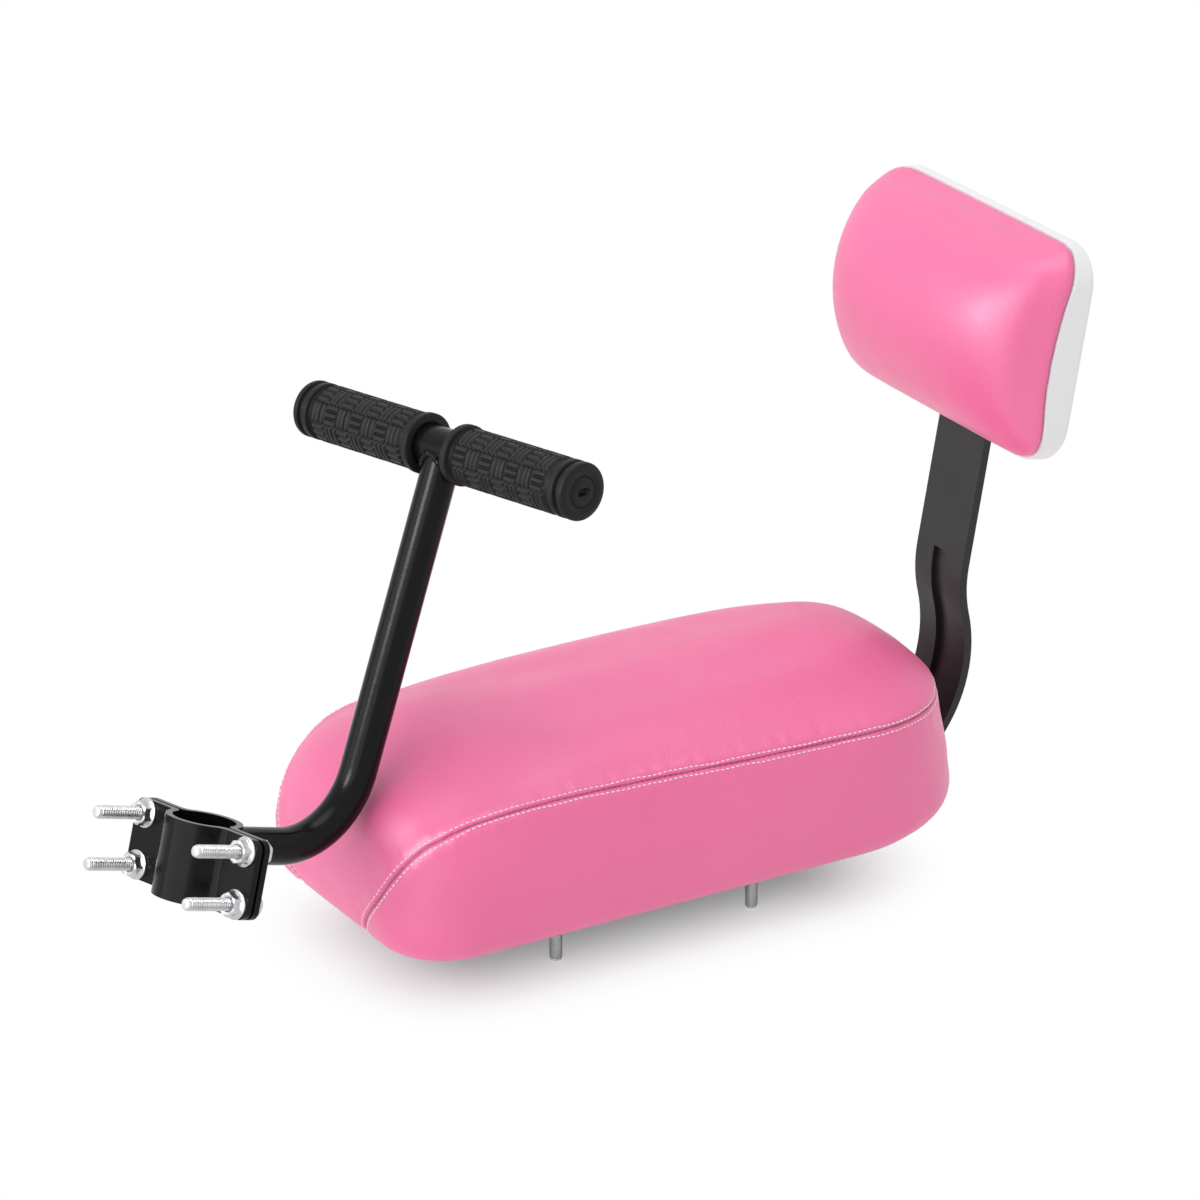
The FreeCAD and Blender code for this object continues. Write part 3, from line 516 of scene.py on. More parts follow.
def nearest_on(tree, points):
    """Nearest places on a surface, and the surface's directions there."""
    places, directions = [], []
    for point in points:
        place, direction, _, _ = tree.find_nearest(Vector(point))
        places.append(place)
        directions.append(direction)
    return np.array(places), np.array(directions)


def point_tree(points):
    tree = KDTree(len(points))
    for number, point in enumerate(points):
        tree.insert(Vector(point), number)
    tree.balance()
    return tree


def neighbours(mesh):
    edges = np.zeros(len(mesh.edges) * 2, np.int32)
    mesh.edges.foreach_get("vertices", edges)
    return edges.reshape(-1, 2)


def relaxed(points, edges, rounds, share=0.5):
    """Points drawn towards the middle of their neighbours."""
    counts = np.bincount(edges.ravel(), minlength=len(points)).astype(float)[:, None]
    for _ in range(rounds):
        total = np.zeros_like(points)
        np.add.at(total, edges[:, 0], points[edges[:, 1]])
        np.add.at(total, edges[:, 1], points[edges[:, 0]])
        points = points + share * (total / counts - points)
    return points


def smooth_rise(value, low, high):
    """0 below low, 1 above high and an even S between them."""
    share = np.clip((value - low) / (high - low), 0.0, 1.0)
    return share * share * (3.0 - 2.0 * share)


def bell(value, width):
    return np.exp(-(value / width) ** 2)


# Padded pieces

def remeshed(name, node, voxel):
    """A copy of a solid in even squares, on the solid's own surface."""
    piece = new_object(name, nodes[node].data.copy(), LEATHER)
    remesh = piece.modifiers.new("remesh", "REMESH")
    remesh.mode = "VOXEL"
    remesh.voxel_size = voxel * MM
    bake(piece)
    edges = neighbours(piece.data)
    points = relaxed(coordinates(piece.data), edges, rounds=2)
    points, _ = nearest_on(surface_of(nodes[node].data), points)
    set_coordinates(piece.data, relaxed(points, edges, rounds=1, share=0.35))
    return piece


def ease(piece, points, rounds, weight):
    """Give the piece these points, smoothed by a weight for each."""
    smooth = relaxed(points, neighbours(piece.data), rounds)
    set_coordinates(piece.data, points + (smooth - points) * weight[:, None])


def capped(moves, cap):
    """Moves that go no further than the cap."""
    reach = np.linalg.norm(moves, axis=1)
    return moves * np.minimum(1.0, cap * MM / np.maximum(reach, 1e-9))[:, None]


def puff(piece, free, inset, cap, swell):
    """Swell the free points by a cloth simulation that starts a little inside the solid.

    The swelling is scaled so that the cover ends about as far outside the solid as swell says.
    """
    outward = normals(piece.data)
    start = coordinates(piece.data) - outward * (free * inset * MM)[:, None]
    set_coordinates(piece.data, start)
    held = piece.vertex_groups.new(name="held")
    for index, share in enumerate(1.0 - free):
        if share > 0.0:
            held.add([index], float(share), "REPLACE")
    cloth = piece.modifiers.new("cloth", "CLOTH")
    settings = cloth.settings
    settings.quality = 5
    settings.mass = 0.3
    settings.tension_stiffness = 12.0
    settings.compression_stiffness = 12.0
    settings.shear_stiffness = 6.0
    settings.bending_stiffness = 1.2
    settings.use_pressure = True
    settings.uniform_pressure_force = 4.0
    settings.effector_weights.gravity = 0.0
    settings.vertex_group_mass = "held"
    cloth.collision_settings.use_collision = False
    cloth.point_cache.frame_start = 1
    cloth.point_cache.frame_end = CLOTH_FRAMES
    for number in range(1, CLOTH_FRAMES + 1):
        scene.frame_set(number)
    bake(piece)
    scene.frame_set(1)
    moved = capped(coordinates(piece.data) - start, cap)
    moved = relaxed(moved, neighbours(piece.data), rounds=3) * free[:, None]
    well_free = free > 0.7
    average = (moved * outward).sum(axis=1)[well_free].mean() / MM
    moved *= np.clip((inset + swell) / average, *SWELL_SCALES)
    set_coordinates(piece.data, start + capped(moved, cap))


def subdivide(piece):
    split = piece.modifiers.new("subdivide", "SUBSURF")
    split.levels = 1
    split.render_levels = 1
    bake(piece)


def refine_near(piece, points, reach, cuts):
    """Split the faces that lie near the points."""
    tree = point_tree(points)
    graph = bmesh.new()
    graph.from_mesh(piece.data)
    edges = {
        edge
        for face in graph.faces
        if tree.find(face.calc_center_median())[2] < reach
        for edge in face.edges
    }
    bmesh.ops.subdivide_edges(graph, edges=list(edges), cuts=cuts, use_grid_fill=True, smooth=0.0)
    graph.to_mesh(piece.data)
    graph.free()
    piece.data.shade_smooth()


def seam_distance(points, seam):
    """Distance to the seam in millimetres and place along it, for each point."""
    tree = point_tree(seam)
    apart = np.zeros(len(points))
    place = np.zeros(len(points), int)
    for number, point in enumerate(points):
        _, place[number], apart[number] = tree.find(Vector(point))
    return apart / MM, place


def whole_seam():
    """The seam on both halves; on the far half it lies a little further round the nose."""
    near = np.array(SEAM_POINTS) * MM
    far = near[-2::-1] * np.array([1.0, -1.0, 1.0])
    shift = FAR_SHIFT + FAR_SHIFT_LOW * (1.0 - smooth_rise(far[:, 2] / MM, 8.0, 32.0))
    far[:, 1] += shift * MM * smooth_rise(-far[:, 0] / MM, 90.0, 128.0)
    return smooth_curve(np.vstack([near, far]), SEAM_STEP * MM)


def seat_freedom(points):
    """How free each point of the cushion is to swell: little at the seam, not at the pan or strap."""
    x, y, z = (points / MM).T
    aside = np.abs(y)
    apart, _ = seam_distance(points, whole_seam())
    free = smooth_rise(z, 6.0, 24.0) * (1.0 - SEAM_HOLD * bell(apart, SEAM_REACH))
    behind = (aside < STRAP_HALF_WIDTH + 6.0) & (x > STRAP_BEND_START + 30.0) & (z < 56.0)
    hollow = (aside < PAN_HALF_WIDTH + 2.0) & (z < PAN_TOP + 4.0)
    hollow &= (x > PAN_FRONT - 2.0) & (x < PAN_REAR + 3.5)
    free[behind | hollow] = 0.0
    return free


def clear_of_frame(points):
    """Lift the cover's hidden hollows off the pan and the strap."""
    x, y, z = (points / MM).T
    aside = np.abs(y)
    roof = (aside < PAN_HALF_WIDTH - 2.0) & (x > PAN_FRONT + 2.0) & (x < PAN_REAR - 1.5)
    roof &= (z > PAN_TOP - 4.0) & (z < PAN_TOP + 6.0)
    points[roof, 2] += ROOF_ROOM * MM
    wall = (aside < PAN_HALF_WIDTH + 1.5) & (x > PAN_FRONT - 1.5) & (x < PAN_REAR + 1.5)
    wall &= (z > 0.6) & (z < PAN_TOP + 4.0) & ~roof
    points[wall, 1] += np.sign(y[wall]) * WALL_ROOM * MM * smooth_rise(aside[wall], 30.0, 58.0)
    points[wall, 0] -= WALL_ROOM * MM * smooth_rise(-x[wall], 70.0, 108.0)
    out_x = x - STRAP_BEND_START
    out_z = z - STRAP_BEND_CENTRE
    radius = np.hypot(out_x, out_z)
    channel = (aside < STRAP_HALF_WIDTH + 2.0) & (out_x > -4.0) & (z < 60.0)
    channel &= (radius > STRAP_BEND_INNER - 4.0) & (radius < STRAP_BEND_INNER + 8.0)
    pull = np.clip(radius[channel] - (STRAP_BEND_INNER - STRAP_ROOM), 0.0, 6.0)
    pull /= np.maximum(radius[channel], 1.0)
    points[channel, 0] -= out_x[channel] * pull * MM
    points[channel, 2] -= out_z[channel] * pull * MM
    return points


def square_nose(points):
    """Fill the nose's upright corners out a little, most at half height."""
    x, y, z = (points / MM).T
    ahead = np.maximum(NOSE_CORNER[0] - x, 0.0)
    aside = np.maximum(np.abs(y) - NOSE_CORNER[1], 0.0)
    away = np.maximum(np.hypot(ahead, aside), 1.0)
    diagonal = (2.0 * ahead * aside / away ** 2) ** 2
    outer = smooth_rise(away, 20.0, 44.0)
    above_floor = 0.25 + 0.75 * smooth_rise(z, 2.0, 26.0)
    below_seam = 1.0 - smooth_rise(z, 40.0, 68.0)
    push = NOSE_FILL * diagonal * outer * above_floor * below_seam * MM / away
    points[:, 0] -= ahead * push
    points[:, 1] += np.sign(y) * aside * push
    return points


def raise_rear(points):
    """Lift the crown a little towards the rear."""
    x, _, z = (points / MM).T
    points[:, 2] += REAR_LIFT * MM * smooth_rise(z, 40.0, 76.0) * smooth_rise(x, -90.0, 60.0)
    return points


def sew_seam(piece, seam):
    """Sink a groove along the seam, with slight puckers beside it, and paint shade into its bottom."""
    points = coordinates(piece.data)
    apart, place = seam_distance(points, seam)
    turns_along = place * SEAM_STEP * FULL_TURN
    sink = GROOVE[0] * bell(apart, GROOVE[1]) + VALLEY[0] * bell(apart, VALLEY[1])
    sink += ROW_DIP[0] * bell(apart - STITCH_OFFSET, ROW_DIP[1])
    pucker = 0.1 * np.sin(turns_along / 11.0) + 0.06 * np.sin(turns_along / 7.3 + 1.0)
    sink += pucker * bell(apart - SEAM_REACH, 4.0)
    set_coordinates(piece.data, points - normals(piece.data) * (sink * MM)[:, None])
    # Painted shade: darkens the bottom of the seam's groove.
    set_shade(piece.data, "painted_crease_shade", 0.97 * bell(apart, 0.5))


def make_seat_cover():
    piece = remeshed("seat_cover", "seat_cushion", SEAT_VOXEL)
    points = coordinates(piece.data)
    free = seat_freedom(points)
    ease(piece, points, 8, free ** 2)
    puff(piece, free, SEAT_INSET, SEAT_CAP, SEAT_SWELL)
    shaped = raise_rear(square_nose(coordinates(piece.data)))
    set_coordinates(piece.data, clear_of_frame(shaped))
    subdivide(piece)
    seam, _ = nearest_on(surface_of(piece.data), whole_seam())
    refine_near(piece, seam, SEAM_REACH * MM, SEAM_CUTS)
    sew_seam(piece, seam)
    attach(piece, "root")
    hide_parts("seat_cushion")
    return piece, seam


def stitch_points(place, ahead, up, slant):
    """Rings of one stitch, which dips into the cover at both ends."""
    across = np.cross(ahead, up)
    across /= np.linalg.norm(across)
    ahead = ahead + across * slant
    points = []
    for spot, width, rise in zip(STITCH_SPOTS, STITCH_WIDTHS, STITCH_RISES):
        middle = place + ahead * (spot * STITCH_HALF * MM) + up * (rise * MM)
        for turn in full_turn(STITCH_SIDES):
            spoke = across * math.cos(turn) * STITCH_WIDE + up * math.sin(turn) * STITCH_HIGH
            points.append(middle + spoke * (width * MM))
    return points


def make_stitches(cover, seam):
    """Two rows of thread, one on each side of the seam."""
    tree = surface_of(cover.data)
    tangent = np.gradient(seam, axis=0)
    tangent /= np.linalg.norm(tangent, axis=1)[:, None]
    _, outward = nearest_on(tree, seam)
    chain = np.column_stack([np.arange(len(seam) - 1), np.arange(1, len(seam))])
    outward = relaxed(outward, chain, rounds=60)
    sideways = np.cross(tangent, outward)
    sideways /= np.linalg.norm(sideways, axis=1)[:, None]
    rings = len(STITCH_SPOTS)
    pattern = grid_faces(rings, STITCH_SIDES) + [first_cap(STITCH_SIDES), last_cap(rings, STITCH_SIDES)]
    points, faces = [], []
    for side in (-1.0, 1.0):
        row, _ = nearest_on(tree, seam + sideways * (side * STITCH_OFFSET * MM))
        row = relaxed(row, chain, rounds=30)
        along = lengths_along(row)
        centres = np.arange(STITCH_END * MM, along[-1] - STITCH_END * MM, STITCH_PITCH * MM)
        for number, centre in enumerate(centres):
            place = np.array([np.interp(centre, along, row[:, axis]) for axis in range(3)])
            index = int(np.clip(np.searchsorted(along, centre), 1, len(row) - 1))
            ahead = row[index] - row[index - 1]
            ahead = ahead / np.linalg.norm(ahead)
            surface, up = nearest_on(tree, [place])
            slant = STITCH_SLANT * math.sin(number * 2.4)
            first = len(points)
            points += stitch_points(surface[0], ahead, up[0], slant)
            faces += [tuple(first + corner for corner in face) for face in pattern]
    piece = new_object("seam_stitches", mesh_from("seam_stitches", points, faces), THREAD)
    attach(piece, "root")


def backrest_places(points):
    """Across, up and forward from the middle of the shell's rear face, and the last two's directions."""
    lean = math.radians(BACKREST_LEAN)
    front = np.array([-math.cos(lean), 0.0, math.sin(lean)])
    up = np.array([math.sin(lean), 0.0, math.cos(lean)])
    shell = coordinates(nodes["backrest_shell"].data)
    level = ((shell @ up).min() + (shell @ up).max()) / 2
    forward = (points @ front - (shell @ front).min()) / MM
    return points[:, 1] / MM, (points @ up - level) / MM, forward, up, front


def rim_depth(height):
    """How far forward the shell's swept rim comes at a height from its middle."""
    run = 2.0 * SHELL_HALF_HEIGHT
    half = math.hypot(run, RIM_TOP - RIM_BOTTOM) / 2.0
    fall = math.sqrt(RIM_RADIUS ** 2 - half ** 2)
    tilt = math.atan((RIM_TOP - RIM_BOTTOM) / run)
    centre_up = fall * math.sin(tilt)
    centre_out = (RIM_TOP + RIM_BOTTOM) / 2.0 - fall * math.cos(tilt)
    return centre_out + np.sqrt(RIM_RADIUS ** 2 - (height - centre_up) ** 2)


def clear_of_shell(points):
    """Draw the cover's hidden plug in from the shell's wall and bosses."""
    across, height, forward, up, front = backrest_places(points)
    hidden = 1.0 - smooth_rise(forward - rim_depth(height), -2.5, 0.6)
    points[:, 1] -= across * (WALL_ROOM / SHELL_HALF_WIDTH) * hidden * MM
    points -= np.outer(height * (WALL_ROOM / SHELL_HALF_HEIGHT) * hidden * MM, up)
    for level in (-0.5 * BOSS_SPACING, 0.5 * BOSS_SPACING):
        away = np.hypot(across, height - level)
        near = (away < BOSS_RADIUS + 2.5) & (forward < BOSS_END + 2.5)
        push = np.clip(BOSS_RADIUS + BOSS_ROOM - away, 0.0, 3.0) * near / np.maximum(away, 0.5)
        points[:, 1] += across * push * MM
        points += np.outer((height - level) * push * MM, up)
        points += np.outer((near & (away < BOSS_RADIUS)) * BOSS_LIFT * MM, front)
    return points


def inside_outline(across, height):
    """How far a point lies inside the shell's rounded outline."""
    out_x = np.abs(across) - (SHELL_HALF_WIDTH - SHELL_CORNER)
    out_y = np.abs(height) - (SHELL_HALF_HEIGHT - SHELL_CORNER)
    corner = np.hypot(np.maximum(out_x, 0.0), np.maximum(out_y, 0.0))
    return SHELL_CORNER - corner - np.minimum(np.maximum(out_x, out_y), 0.0)


def dome_depth(across, height):
    """How far the pad comes forward of the rim: a half round, fuller above the middle."""
    side = np.minimum(np.abs(across) / SHELL_HALF_WIDTH, 1.0)
    level = np.clip(height / SHELL_HALF_HEIGHT, -1.0, 1.0)
    upright = 1.0 - np.abs(level) ** np.where(level > 0.0, DOME_POWER_ABOVE, DOME_POWER_BELOW)
    crown = np.sqrt(upright * (1.0 - side ** DOME_POWER_ASIDE))
    edge = np.clip(inside_outline(across, height) / BRIM_ROUNDING, 0.0, 1.0)
    return DOME_DEPTH * crown * np.sqrt(edge * (2.0 - edge)) * (1.0 + DOME_TILT * level)


def domed(points):
    """Points of the pad ahead of the rim, drawn along rays from its middle onto the half round."""
    across, height, forward, up, front = backrest_places(points)
    edge = forward - rim_depth(height)
    low = np.full(len(points), 0.3)
    high = np.full(len(points), 1.6)
    for _ in range(40):
        scale = (low + high) / 2.0
        outside = scale * edge > dome_depth(scale * across, scale * height)
        high = np.where(outside, scale, high)
        low = np.where(outside, low, scale)
    seen = edge > RIM_TOLERANCE
    scale = np.where(seen, (low + high) / 2.0, 1.0)
    ahead = rim_depth(scale * height) + scale * edge
    points = points + np.outer((scale - 1.0) * height * MM, up)
    points += np.outer(np.where(seen, ahead - forward, 0.0) * MM, front)
    points[:, 1] += (scale - 1.0) * across * MM
    return points


def near_brim(points, width):
    """1 where the cover meets the shell's rim, falling off over the width."""
    across, height, forward, _, _ = backrest_places(points)
    return bell(forward - rim_depth(height), width) * (inside_outline(across, height) < BRIM_BAND)


def make_backrest_cover():
    piece = remeshed("backrest_cover", "backrest_pad", PAD_VOXEL)
    points = domed(coordinates(piece.data))
    _, height, forward, _, _ = backrest_places(points)
    free = smooth_rise(forward - rim_depth(height), 1.0, 14.0)
    ease(piece, points, 6, free)
    puff(piece, free, PAD_INSET, PAD_CAP, PAD_SWELL)
    points = clear_of_shell(coordinates(piece.data))
    ease(piece, points, 4, near_brim(points, width=2.5))
    subdivide(piece)
    # Painted shade: a thin dark line where the pad meets the shell's rim.
    set_shade(piece.data, "painted_crease_shade", 0.8 * near_brim(coordinates(piece.data), width=0.9))
    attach(piece, "root")
    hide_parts("backrest_pad")


# Grips

def grip_radius(along):
    """Radius of the grip's plain form: flange, body, collar and end bead with grooves between them."""
    bands = [
        (GRIP_INNER, GRIP_INNER + 4.0, GRIP_FLANGE),
        (GRIP_INNER + 4.0, GRIP_INNER + 6.0, GRIP_GROOVE),
        (GRIP_INNER + 6.0, GRIP_OUTER - 12.0, GRIP_BODY),
        (GRIP_OUTER - 12.0, GRIP_OUTER - 10.0, GRIP_GROOVE),
        (GRIP_OUTER - 10.0, GRIP_OUTER - 6.0, GRIP_COLLAR),
        (GRIP_OUTER - 6.0, GRIP_OUTER - 4.0, GRIP_GROOVE),
        (GRIP_OUTER - 4.0, GRIP_OUTER, GRIP_COLLAR),
    ]
    radius = np.full_like(along, GRIP_GROOVE)
    for start, end, size in bands:
        inside = np.minimum(along - start, end - along)
        rounding = smooth_rise(inside, -0.1, 0.7)
        radius = np.where(inside >= -0.1, radius + (size - radius) * rounding, radius)
    ending = np.clip((along - (GRIP_OUTER - GRIP_END_ROUNDING)) / GRIP_END_ROUNDING, 0.0, 1.0)
    return radius - 2.2 * (1.0 - np.sqrt(np.maximum(0.0, 1.0 - ending ** 2)))


def tread(along, turn):
    """Raised basket pattern of short bars, from 0 to 1."""
    column = (along - TREAD_START) / (TREAD_END - TREAD_START) * TREAD_COLUMNS
    row = turn / FULL_TURN * TREAD_ROWS
    in_column, in_row = column % 1.0, row % 1.0
    upright = (np.floor(column) + np.floor(row)) % 2 < 0.5
    across = np.where(upright, in_column, in_row)
    lengthways = np.where(upright, in_row, in_column)
    bar = np.abs((across * TREAD_BARS) % 1.0 - 0.5)
    height = smooth_rise(0.5 - bar, 0.16, 0.26)
    height = height * smooth_rise(np.minimum(lengthways, 1.0 - lengthways), 0.03, 0.09)
    inside = smooth_rise(np.minimum(along - TREAD_START, TREAD_END - along), 0.0, 0.6)
    return height * inside


def make_grip(name, node, middle, axis):
    centre = coordinates(nodes[node].data).mean(axis=0)
    axis = axis if (centre - middle) @ axis > 0.0 else -axis
    along = np.r_[
        GRIP_INNER,
        np.arange(GRIP_INNER + 0.05, TREAD_START, 0.3),
        np.arange(TREAD_START, TREAD_END, 0.5),
        np.arange(TREAD_END, GRIP_OUTER, 0.25),
        GRIP_OUTER,
    ]
    turns = full_turn(GRIP_SIDES)
    long_grid, turn_grid = np.meshgrid(along, turns, indexing="ij")
    rise = tread(long_grid, turn_grid)
    body = grip_radius(long_grid) + TREAD_HEIGHT * rise
    ring = np.ones((1, GRIP_SIDES))
    bore = CROSSBAR_RADIUS + 0.1
    mouth = [(ring * (GRIP_INNER + 0.4), ring * bore), (ring * GRIP_INNER, ring * (bore + 0.3))]
    rings = mouth + [(long_grid, body)]
    for share, deep in CAP_RINGS:
        rings.append((ring * (GRIP_OUTER + deep), body[-1:, :] * share))
    slot = 1.4 + 1.5 * (1.0 + 0.75 * np.cos(turns[None, :] * 2.0)) / 1.75
    for share, deep in SLOT_RINGS:
        rings.append((ring * (GRIP_OUTER + deep), slot * share))
    heights = np.vstack([item[0] for item in rings])
    sizes = np.vstack([item[1] for item in rings])
    faces = grid_faces(len(heights), GRIP_SIDES) + [last_cap(len(heights), GRIP_SIDES)]
    mesh = mesh_from(name, ring_points(middle, axis, heights, sizes, turns), faces)
    in_tread = (long_grid >= TREAD_START) & (long_grid <= TREAD_END)
    # Painted light and shade for the material: tread bars lit, grooves and the end slot shaded.
    shade = np.full(sizes.shape, PLAIN_PAINTED_LIGHT)
    shade[len(mouth):len(mouth) + len(along)] = np.where(in_tread, rise, PLAIN_PAINTED_LIGHT)
    shade[-SLOT_SHADED_RINGS:] = 0.0
    set_shade(mesh, "painted_tread_light", shade)
    piece = new_object(name, mesh, RUBBER)
    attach(piece, "root")
    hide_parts(node)


# Threaded hardware, drawn along its axis from the free end

def hexagon_radius(turns, phase):
    sixth = math.pi / 3.0
    inside = (turns + phase) % sixth - sixth / 2.0
    return HEX_FLATS / 2.0 / np.cos(inside)


def hex_head(start, height, phase, turns):
    """Rings of a hexagon with its outer corners taken off."""
    hexed = hexagon_radius(turns, phase)
    half = HEX_FLATS / 2.0
    return [
        (start, np.minimum(hexed, half * 1.11)),
        (start + 0.25, hexed * 0.995),
        (start + height - 0.9, hexed * 0.995),
        (start + height - 0.35, np.minimum(hexed, half * 1.09)),
        (start + height, np.minimum(hexed, half * 0.96)),
    ]


def threaded_shank(end, turns):
    """Rings from a blunt tip up a thread, whose crest winds round as the height grows."""
    rings = list(TIP_RINGS)
    for height in np.arange(THREAD_START, end, THREAD_PITCH / 8.0):
        wave = (height / THREAD_PITCH - turns / FULL_TURN) % 1.0
        crest = smooth_rise(0.5 - np.abs(wave - 0.5), 0.10, 0.36)
        lead = np.clip((height - THREAD_START) / THREAD_LEAD, 0.0, 1.0)
        rings.append((height, THREAD_CORE + (THREAD_RADIUS - THREAD_CORE) * crest * lead))
    return rings


def spun_object(name, profile, turns, origin, axis, capped_ends=True):
    """A zinc piece from a list of heights and radii, where a radius may vary round the turn."""
    around = len(turns)
    heights = np.array([np.full(around, height) for height, _ in profile])
    sizes = np.array([np.broadcast_to(np.asarray(size, float), (around,)) for _, size in profile])
    faces = grid_faces(len(heights), around)
    if capped_ends:
        faces += [first_cap(around), last_cap(len(heights), around)]
    mesh = mesh_from(name, ring_points(origin, axis, heights, sizes, turns), faces)
    piece = new_object(name, mesh, ZINC)
    piece.data.set_sharp_from_angle(angle=SHARP_ANGLE)
    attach(piece, "root")
    return piece


def free_end(node):
    """Free end of a bolt's shank, its direction to the head and its length."""
    points = coordinates(nodes[node].data)
    _, axis = long_axis(node)
    along = points @ axis
    middle = (along.min() + along.max()) / 2
    off = points - points.mean(axis=0)
    off = np.linalg.norm(off - np.outer(off @ axis, axis), axis=1)
    if off[along > middle].max() < off[along < middle].max():
        axis = -axis
        along = -along
    ring = points[along > along.max() - 1e-5]
    centre = (ring.min(axis=0) + ring.max(axis=0)) / 2
    length = along.max() - along.min()
    return centre - axis * length, axis, length / MM


def make_bolt(node, phase):
    origin, axis, length = free_end(node)
    turns = full_turn(THREAD_SIDES)
    head = length - BOLT_HEAD_HEIGHT
    profile = threaded_shank(head - 0.1, turns) + [(head, UNDER_HEAD)]
    profile += hex_head(head, BOLT_HEAD_HEIGHT, phase, turns)
    piece = spun_object(f"{node}_threaded", profile, turns, origin, axis)
    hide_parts(node)


def make_stud(node):
    low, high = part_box(node)
    origin = np.array([(low.x + high.x) / 2, (low.y + high.y) / 2, low.z])
    turns = full_turn(THREAD_SIDES)
    profile = threaded_shank(STUD_REACH - 0.05, turns)
    profile += [
        (STUD_REACH, STUD_NECK), (STUD_REACH + 4.0, STUD_NECK), (STUD_REACH + 4.0, STUD_HEAD),
        (STUD_REACH + 6.2, STUD_HEAD), (STUD_REACH + 6.8, 6.0), (STUD_REACH + 7.0, 5.0),
    ]
    piece = spun_object(f"{node}_threaded", profile, turns, origin, np.array([0.0, 0.0, 1.0]))
    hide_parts(node)


def make_nut(node, bolt, phase):
    """A flange nut on its bolt, flange towards the bolt's head."""
    origin, axis, _ = free_end(bolt)
    along = (coordinates(nodes[node].data) - origin) @ axis / MM
    start, end = along.min(), along.max()
    turns = full_turn(NUT_SIDES)
    hexed = hexagon_radius(turns, phase)
    bore = [(start + 0.9, 3.05), (start + 0.15, 3.3), (start, 4.0)]
    sides = [
        (start, np.minimum(hexed, 4.8)), (start + 0.35, np.minimum(hexed, 5.4)),
        (start + 0.9, hexed * 0.995), (end - 2.0, hexed * 0.995),
    ]
    flange = [
        (end - 1.25, 5.95), (end - 1.0, 6.6), (end - 0.55, 6.8), (end, 6.75), (end, 3.2), (end - 0.6, 3.05),
    ]
    profile = bore + sides + flange
    piece = spun_object(f"{node}_flanged", profile, turns, origin, axis, capped_ends=False)
    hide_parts(node)


# Welds

def make_weld(name, centre, branch, along, branch_radius, main_radius):
    """A rippled bead where a tube meets a round: branch points from the tube to the round's middle."""
    branch = branch / np.linalg.norm(branch)
    along = along - branch * (along @ branch)
    along /= np.linalg.norm(along)
    across = np.cross(branch, along)
    turns = full_turn(WELD_STEPS)
    radius = branch_radius + WELD_OFFSET
    side = radius * np.sin(turns)
    depth = np.sqrt(main_radius ** 2 - side ** 2)
    path = centre + (
        np.outer(radius * np.cos(turns), along) + np.outer(side, across) - np.outer(depth, branch)
    ) * MM
    ahead = np.roll(path, -1, axis=0) - np.roll(path, 1, axis=0)
    ahead /= np.linalg.norm(ahead, axis=1)[:, None]
    outward = np.outer(np.cos(turns), along) + np.outer(np.sin(turns), across)
    outward -= ahead * (outward * ahead).sum(axis=1)[:, None]
    outward /= np.linalg.norm(outward, axis=1)[:, None]
    upward = np.cross(ahead, outward)
    size = WELD_RADIUS + 0.14 * np.sin(turns * 26.0) + 0.1 * np.sin(turns * 7.0 + 1.0)
    points = np.array([
        path + (outward * math.cos(angle) + upward * math.sin(angle)) * (size * MM)[:, None]
        for angle in full_turn(WELD_SIDES)
    ])
    points = points.transpose(1, 0, 2).reshape(-1, 3)
    faces = []
    for step in range(WELD_STEPS):
        here = step * WELD_SIDES
        after = (step + 1) % WELD_STEPS * WELD_SIDES
        for spot in range(WELD_SIDES):
            beside = (spot + 1) % WELD_SIDES
            faces.append((here + spot, after + spot, after + beside, here + beside))
    piece = new_object(name, mesh_from(name, points, faces), STEEL)
    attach(piece, "root")


def make_welds():
    mount = next(item for item in frame["record"]["mounts"] if item["name"] == "seat_post_clamp")
    post = np.array(mount["axis"], float)
    post /= np.linalg.norm(post)
    middle, across = long_axis("handle_crossbar")
    to_rear = np.cross(across, post)
    if to_rear[0] < 0.0:
        to_rear = -to_rear
    lean = math.radians(TUBE_LEAN)
    upright = post * math.cos(lean) + to_rear * math.sin(lean)
    make_weld("weld_crossbar", middle, upright, across, TUBE_RADIUS, CROSSBAR_RADIUS)
    foot = np.array(mount["pos_m"], float) + post * TUBE_FOOT_RISE * MM
    make_weld("weld_clamp", foot, -to_rear, post, TUBE_RADIUS, CLAMP_ARCH_RADIUS)


# Solids that stay, with their finish

def dress(material, *names):
    for name in names:
        mesh = nodes[name].data
        mesh.materials.clear()
        mesh.materials.append(material)


dress(PAN, "seat_pan")
dress(SHELL, "backrest_shell")
dress(STRAP_STEEL, "backrest_strap")
dress(STEEL, "clamp_rear_plate", "clamp_front_plate", "handle_tube", "handle_crossbar")
for index in (1, 2):
    dress(ZINC, f"strap_bolt_{index}", f"strap_nut_{index}", f"backrest_bolt_{index}")

# Pieces that stand for solids or are added to them
seat_cover, seam_line = make_seat_cover()
make_stitches(seat_cover, seam_line)
make_backrest_cover()
bar_middle, bar_axis = long_axis("handle_crossbar")
make_grip("grip_far_rubber", "grip_far", bar_middle, bar_axis)
make_grip("grip_near_rubber", "grip_near", bar_middle, bar_axis)
for index in range(1, 5):
    make_bolt(f"clamp_bolt_{index}", phase=0.3 * index)
    make_nut(f"clamp_nut_{index}", f"clamp_bolt_{index}", phase=0.7 * index)
    make_stud(f"rack_stud_{index}")
make_welds()


# Floor, light and camera, in metres

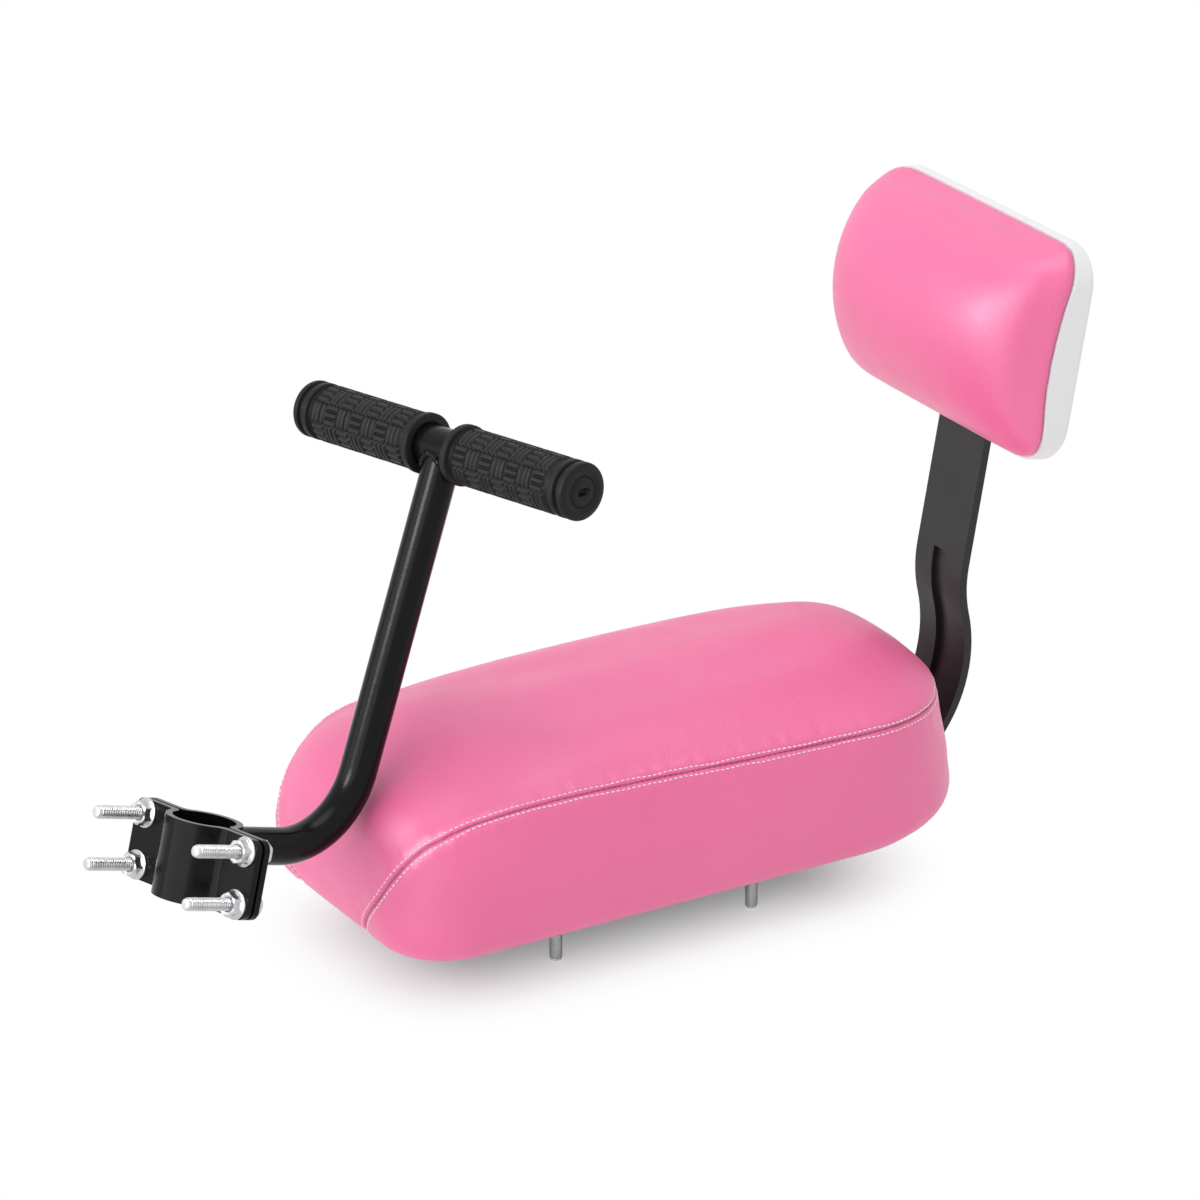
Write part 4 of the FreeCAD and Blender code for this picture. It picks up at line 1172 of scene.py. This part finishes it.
FLOOR_SIZE = 8.0
FLOOR_GAP = 0.0005
SHADOW_BOX = (0.08, 0.015, 0.0)
SHADOW_FADE = (0.0, 0.09, 0.18, 1.0)
WORLD_LIGHT = 0.63
LAMP_TARGET = (0.0, 0.0, 0.1)
CAMERA_AZIMUTH = math.radians(-30.6)
CAMERA_ELEVATION = math.radians(22.9)
CAMERA_ROLL = math.radians(-0.4)
CAMERA_TARGET = (0.0, 0.0, 0.124)
CAMERA_DISTANCE = 2.8
VIEW_WIDTH = 0.5477
SENSOR_WIDTH = 36.0


def seen_rays(tree):
    """1 for the rays that show the background itself, and 0 for those that only light the object."""
    path = tree.nodes.new("ShaderNodeLightPath")
    seen = path.outputs["Is Camera Ray"]
    for name in ("Is Glossy Ray", "Is Transmission Ray"):
        either = tree.nodes.new("ShaderNodeMath")
        either.operation = "MAXIMUM"
        tree.links.new(seen, either.inputs[0])
        tree.links.new(path.outputs[name], either.inputs[1])
        seen = either.outputs[0]
    return seen


def make_floor():
    """A floor that is plain white away from the object and keeps its shadow near it."""
    bpy.ops.mesh.primitive_plane_add(size=FLOOR_SIZE, location=(0.0, 0.0, -STUD_REACH * MM - FLOOR_GAP))
    floor = bpy.context.object
    floor.name = "floor"
    look = Look("pale_floor")
    output = next(item for item in look.tree.nodes if item.type == "OUTPUT_MATERIAL")
    matte = look.node("ShaderNodeBsdfDiffuse", Color=rgb(0.92, 0.92, 0.925))
    glow = look.node("ShaderNodeEmission", Strength=1.0)
    vector_maths = "ShaderNodeVectorMath"
    flat = look.operate(vector_maths, "ABSOLUTE", look.coords).outputs[0]
    past = look.operate(vector_maths, "SUBTRACT", flat, SHADOW_BOX).outputs[0]
    beyond = look.operate(vector_maths, "MAXIMUM", past, (0.0, 0.0, 0.0)).outputs[0]
    away = look.operate(vector_maths, "LENGTH", beyond).outputs["Value"]
    fade = look.ranged(away, SHADOW_FADE, {"interpolation_type": "SMOOTHSTEP"})
    share = look.operate("ShaderNodeMath", "MULTIPLY", seen_rays(look.tree), fade).outputs[0]
    blend = look.node("ShaderNodeMixShader", Fac=share)
    look.feed(blend.inputs[1], matte.outputs[0])
    look.feed(blend.inputs[2], glow.outputs[0])
    look.feed(output.inputs["Surface"], blend.outputs[0])
    floor.data.materials.append(look.material)


def make_world():
    world = bpy.data.worlds.new("studio")
    scene.world = world
    world.use_nodes = True
    tree = world.node_tree
    tree.nodes.clear()
    output = tree.nodes.new("ShaderNodeOutputWorld")
    strength = tree.nodes.new("ShaderNodeMapRange")
    strength.inputs["To Min"].default_value = WORLD_LIGHT
    strength.inputs["To Max"].default_value = 1.0
    tree.links.new(seen_rays(tree), strength.inputs["Value"])
    background = tree.nodes.new("ShaderNodeBackground")
    background.inputs["Color"].default_value = rgb(1.0, 1.0, 1.0)
    tree.links.new(strength.outputs["Result"], background.inputs["Strength"])
    tree.links.new(background.outputs[0], output.inputs["Surface"])


def add_lamp(name, place, size, power, highlight_only=False):
    lamp = bpy.data.lights.new(name, "AREA")
    lamp.shape = "DISK"
    lamp.size = size
    lamp.energy = power
    holder = bpy.data.objects.new(name, lamp)
    scene.collection.objects.link(holder)
    holder.location = place
    holder.rotation_euler = (Vector(LAMP_TARGET) - Vector(place)).to_track_quat("-Z", "Y").to_euler()
    holder.visible_diffuse = not highlight_only


def make_camera():
    back = Vector((
        math.sin(CAMERA_AZIMUTH) * math.cos(CAMERA_ELEVATION),
        -math.cos(CAMERA_AZIMUTH) * math.cos(CAMERA_ELEVATION),
        math.sin(CAMERA_ELEVATION),
    ))
    lens = bpy.data.cameras.new("photo_view")
    lens.sensor_width = SENSOR_WIDTH
    lens.lens = SENSOR_WIDTH * CAMERA_DISTANCE / VIEW_WIDTH
    lens.clip_end = 50.0
    camera = bpy.data.objects.new("photo_view", lens)
    scene.collection.objects.link(camera)
    camera.location = Vector(CAMERA_TARGET) + back * CAMERA_DISTANCE
    camera.rotation_euler = (-back).to_track_quat("-Z", "Y").to_euler()
    camera.rotation_euler.rotate_axis("Z", CAMERA_ROLL)
    scene.camera = camera


make_floor()
make_world()
add_lamp("key", (-1.65, -0.75, 0.7), size=1.4, power=8.8)
add_lamp("side", (-1.75, 0.35, 0.55), size=1.4, power=8.6)
add_lamp("top", (0.1, -0.1, 1.8), size=1.2, power=9.0)
add_lamp("glint", (-1.5, -0.2, 0.95), size=0.6, power=15.0, highlight_only=True)
make_camera()
scene.view_settings.view_transform = "Standard"
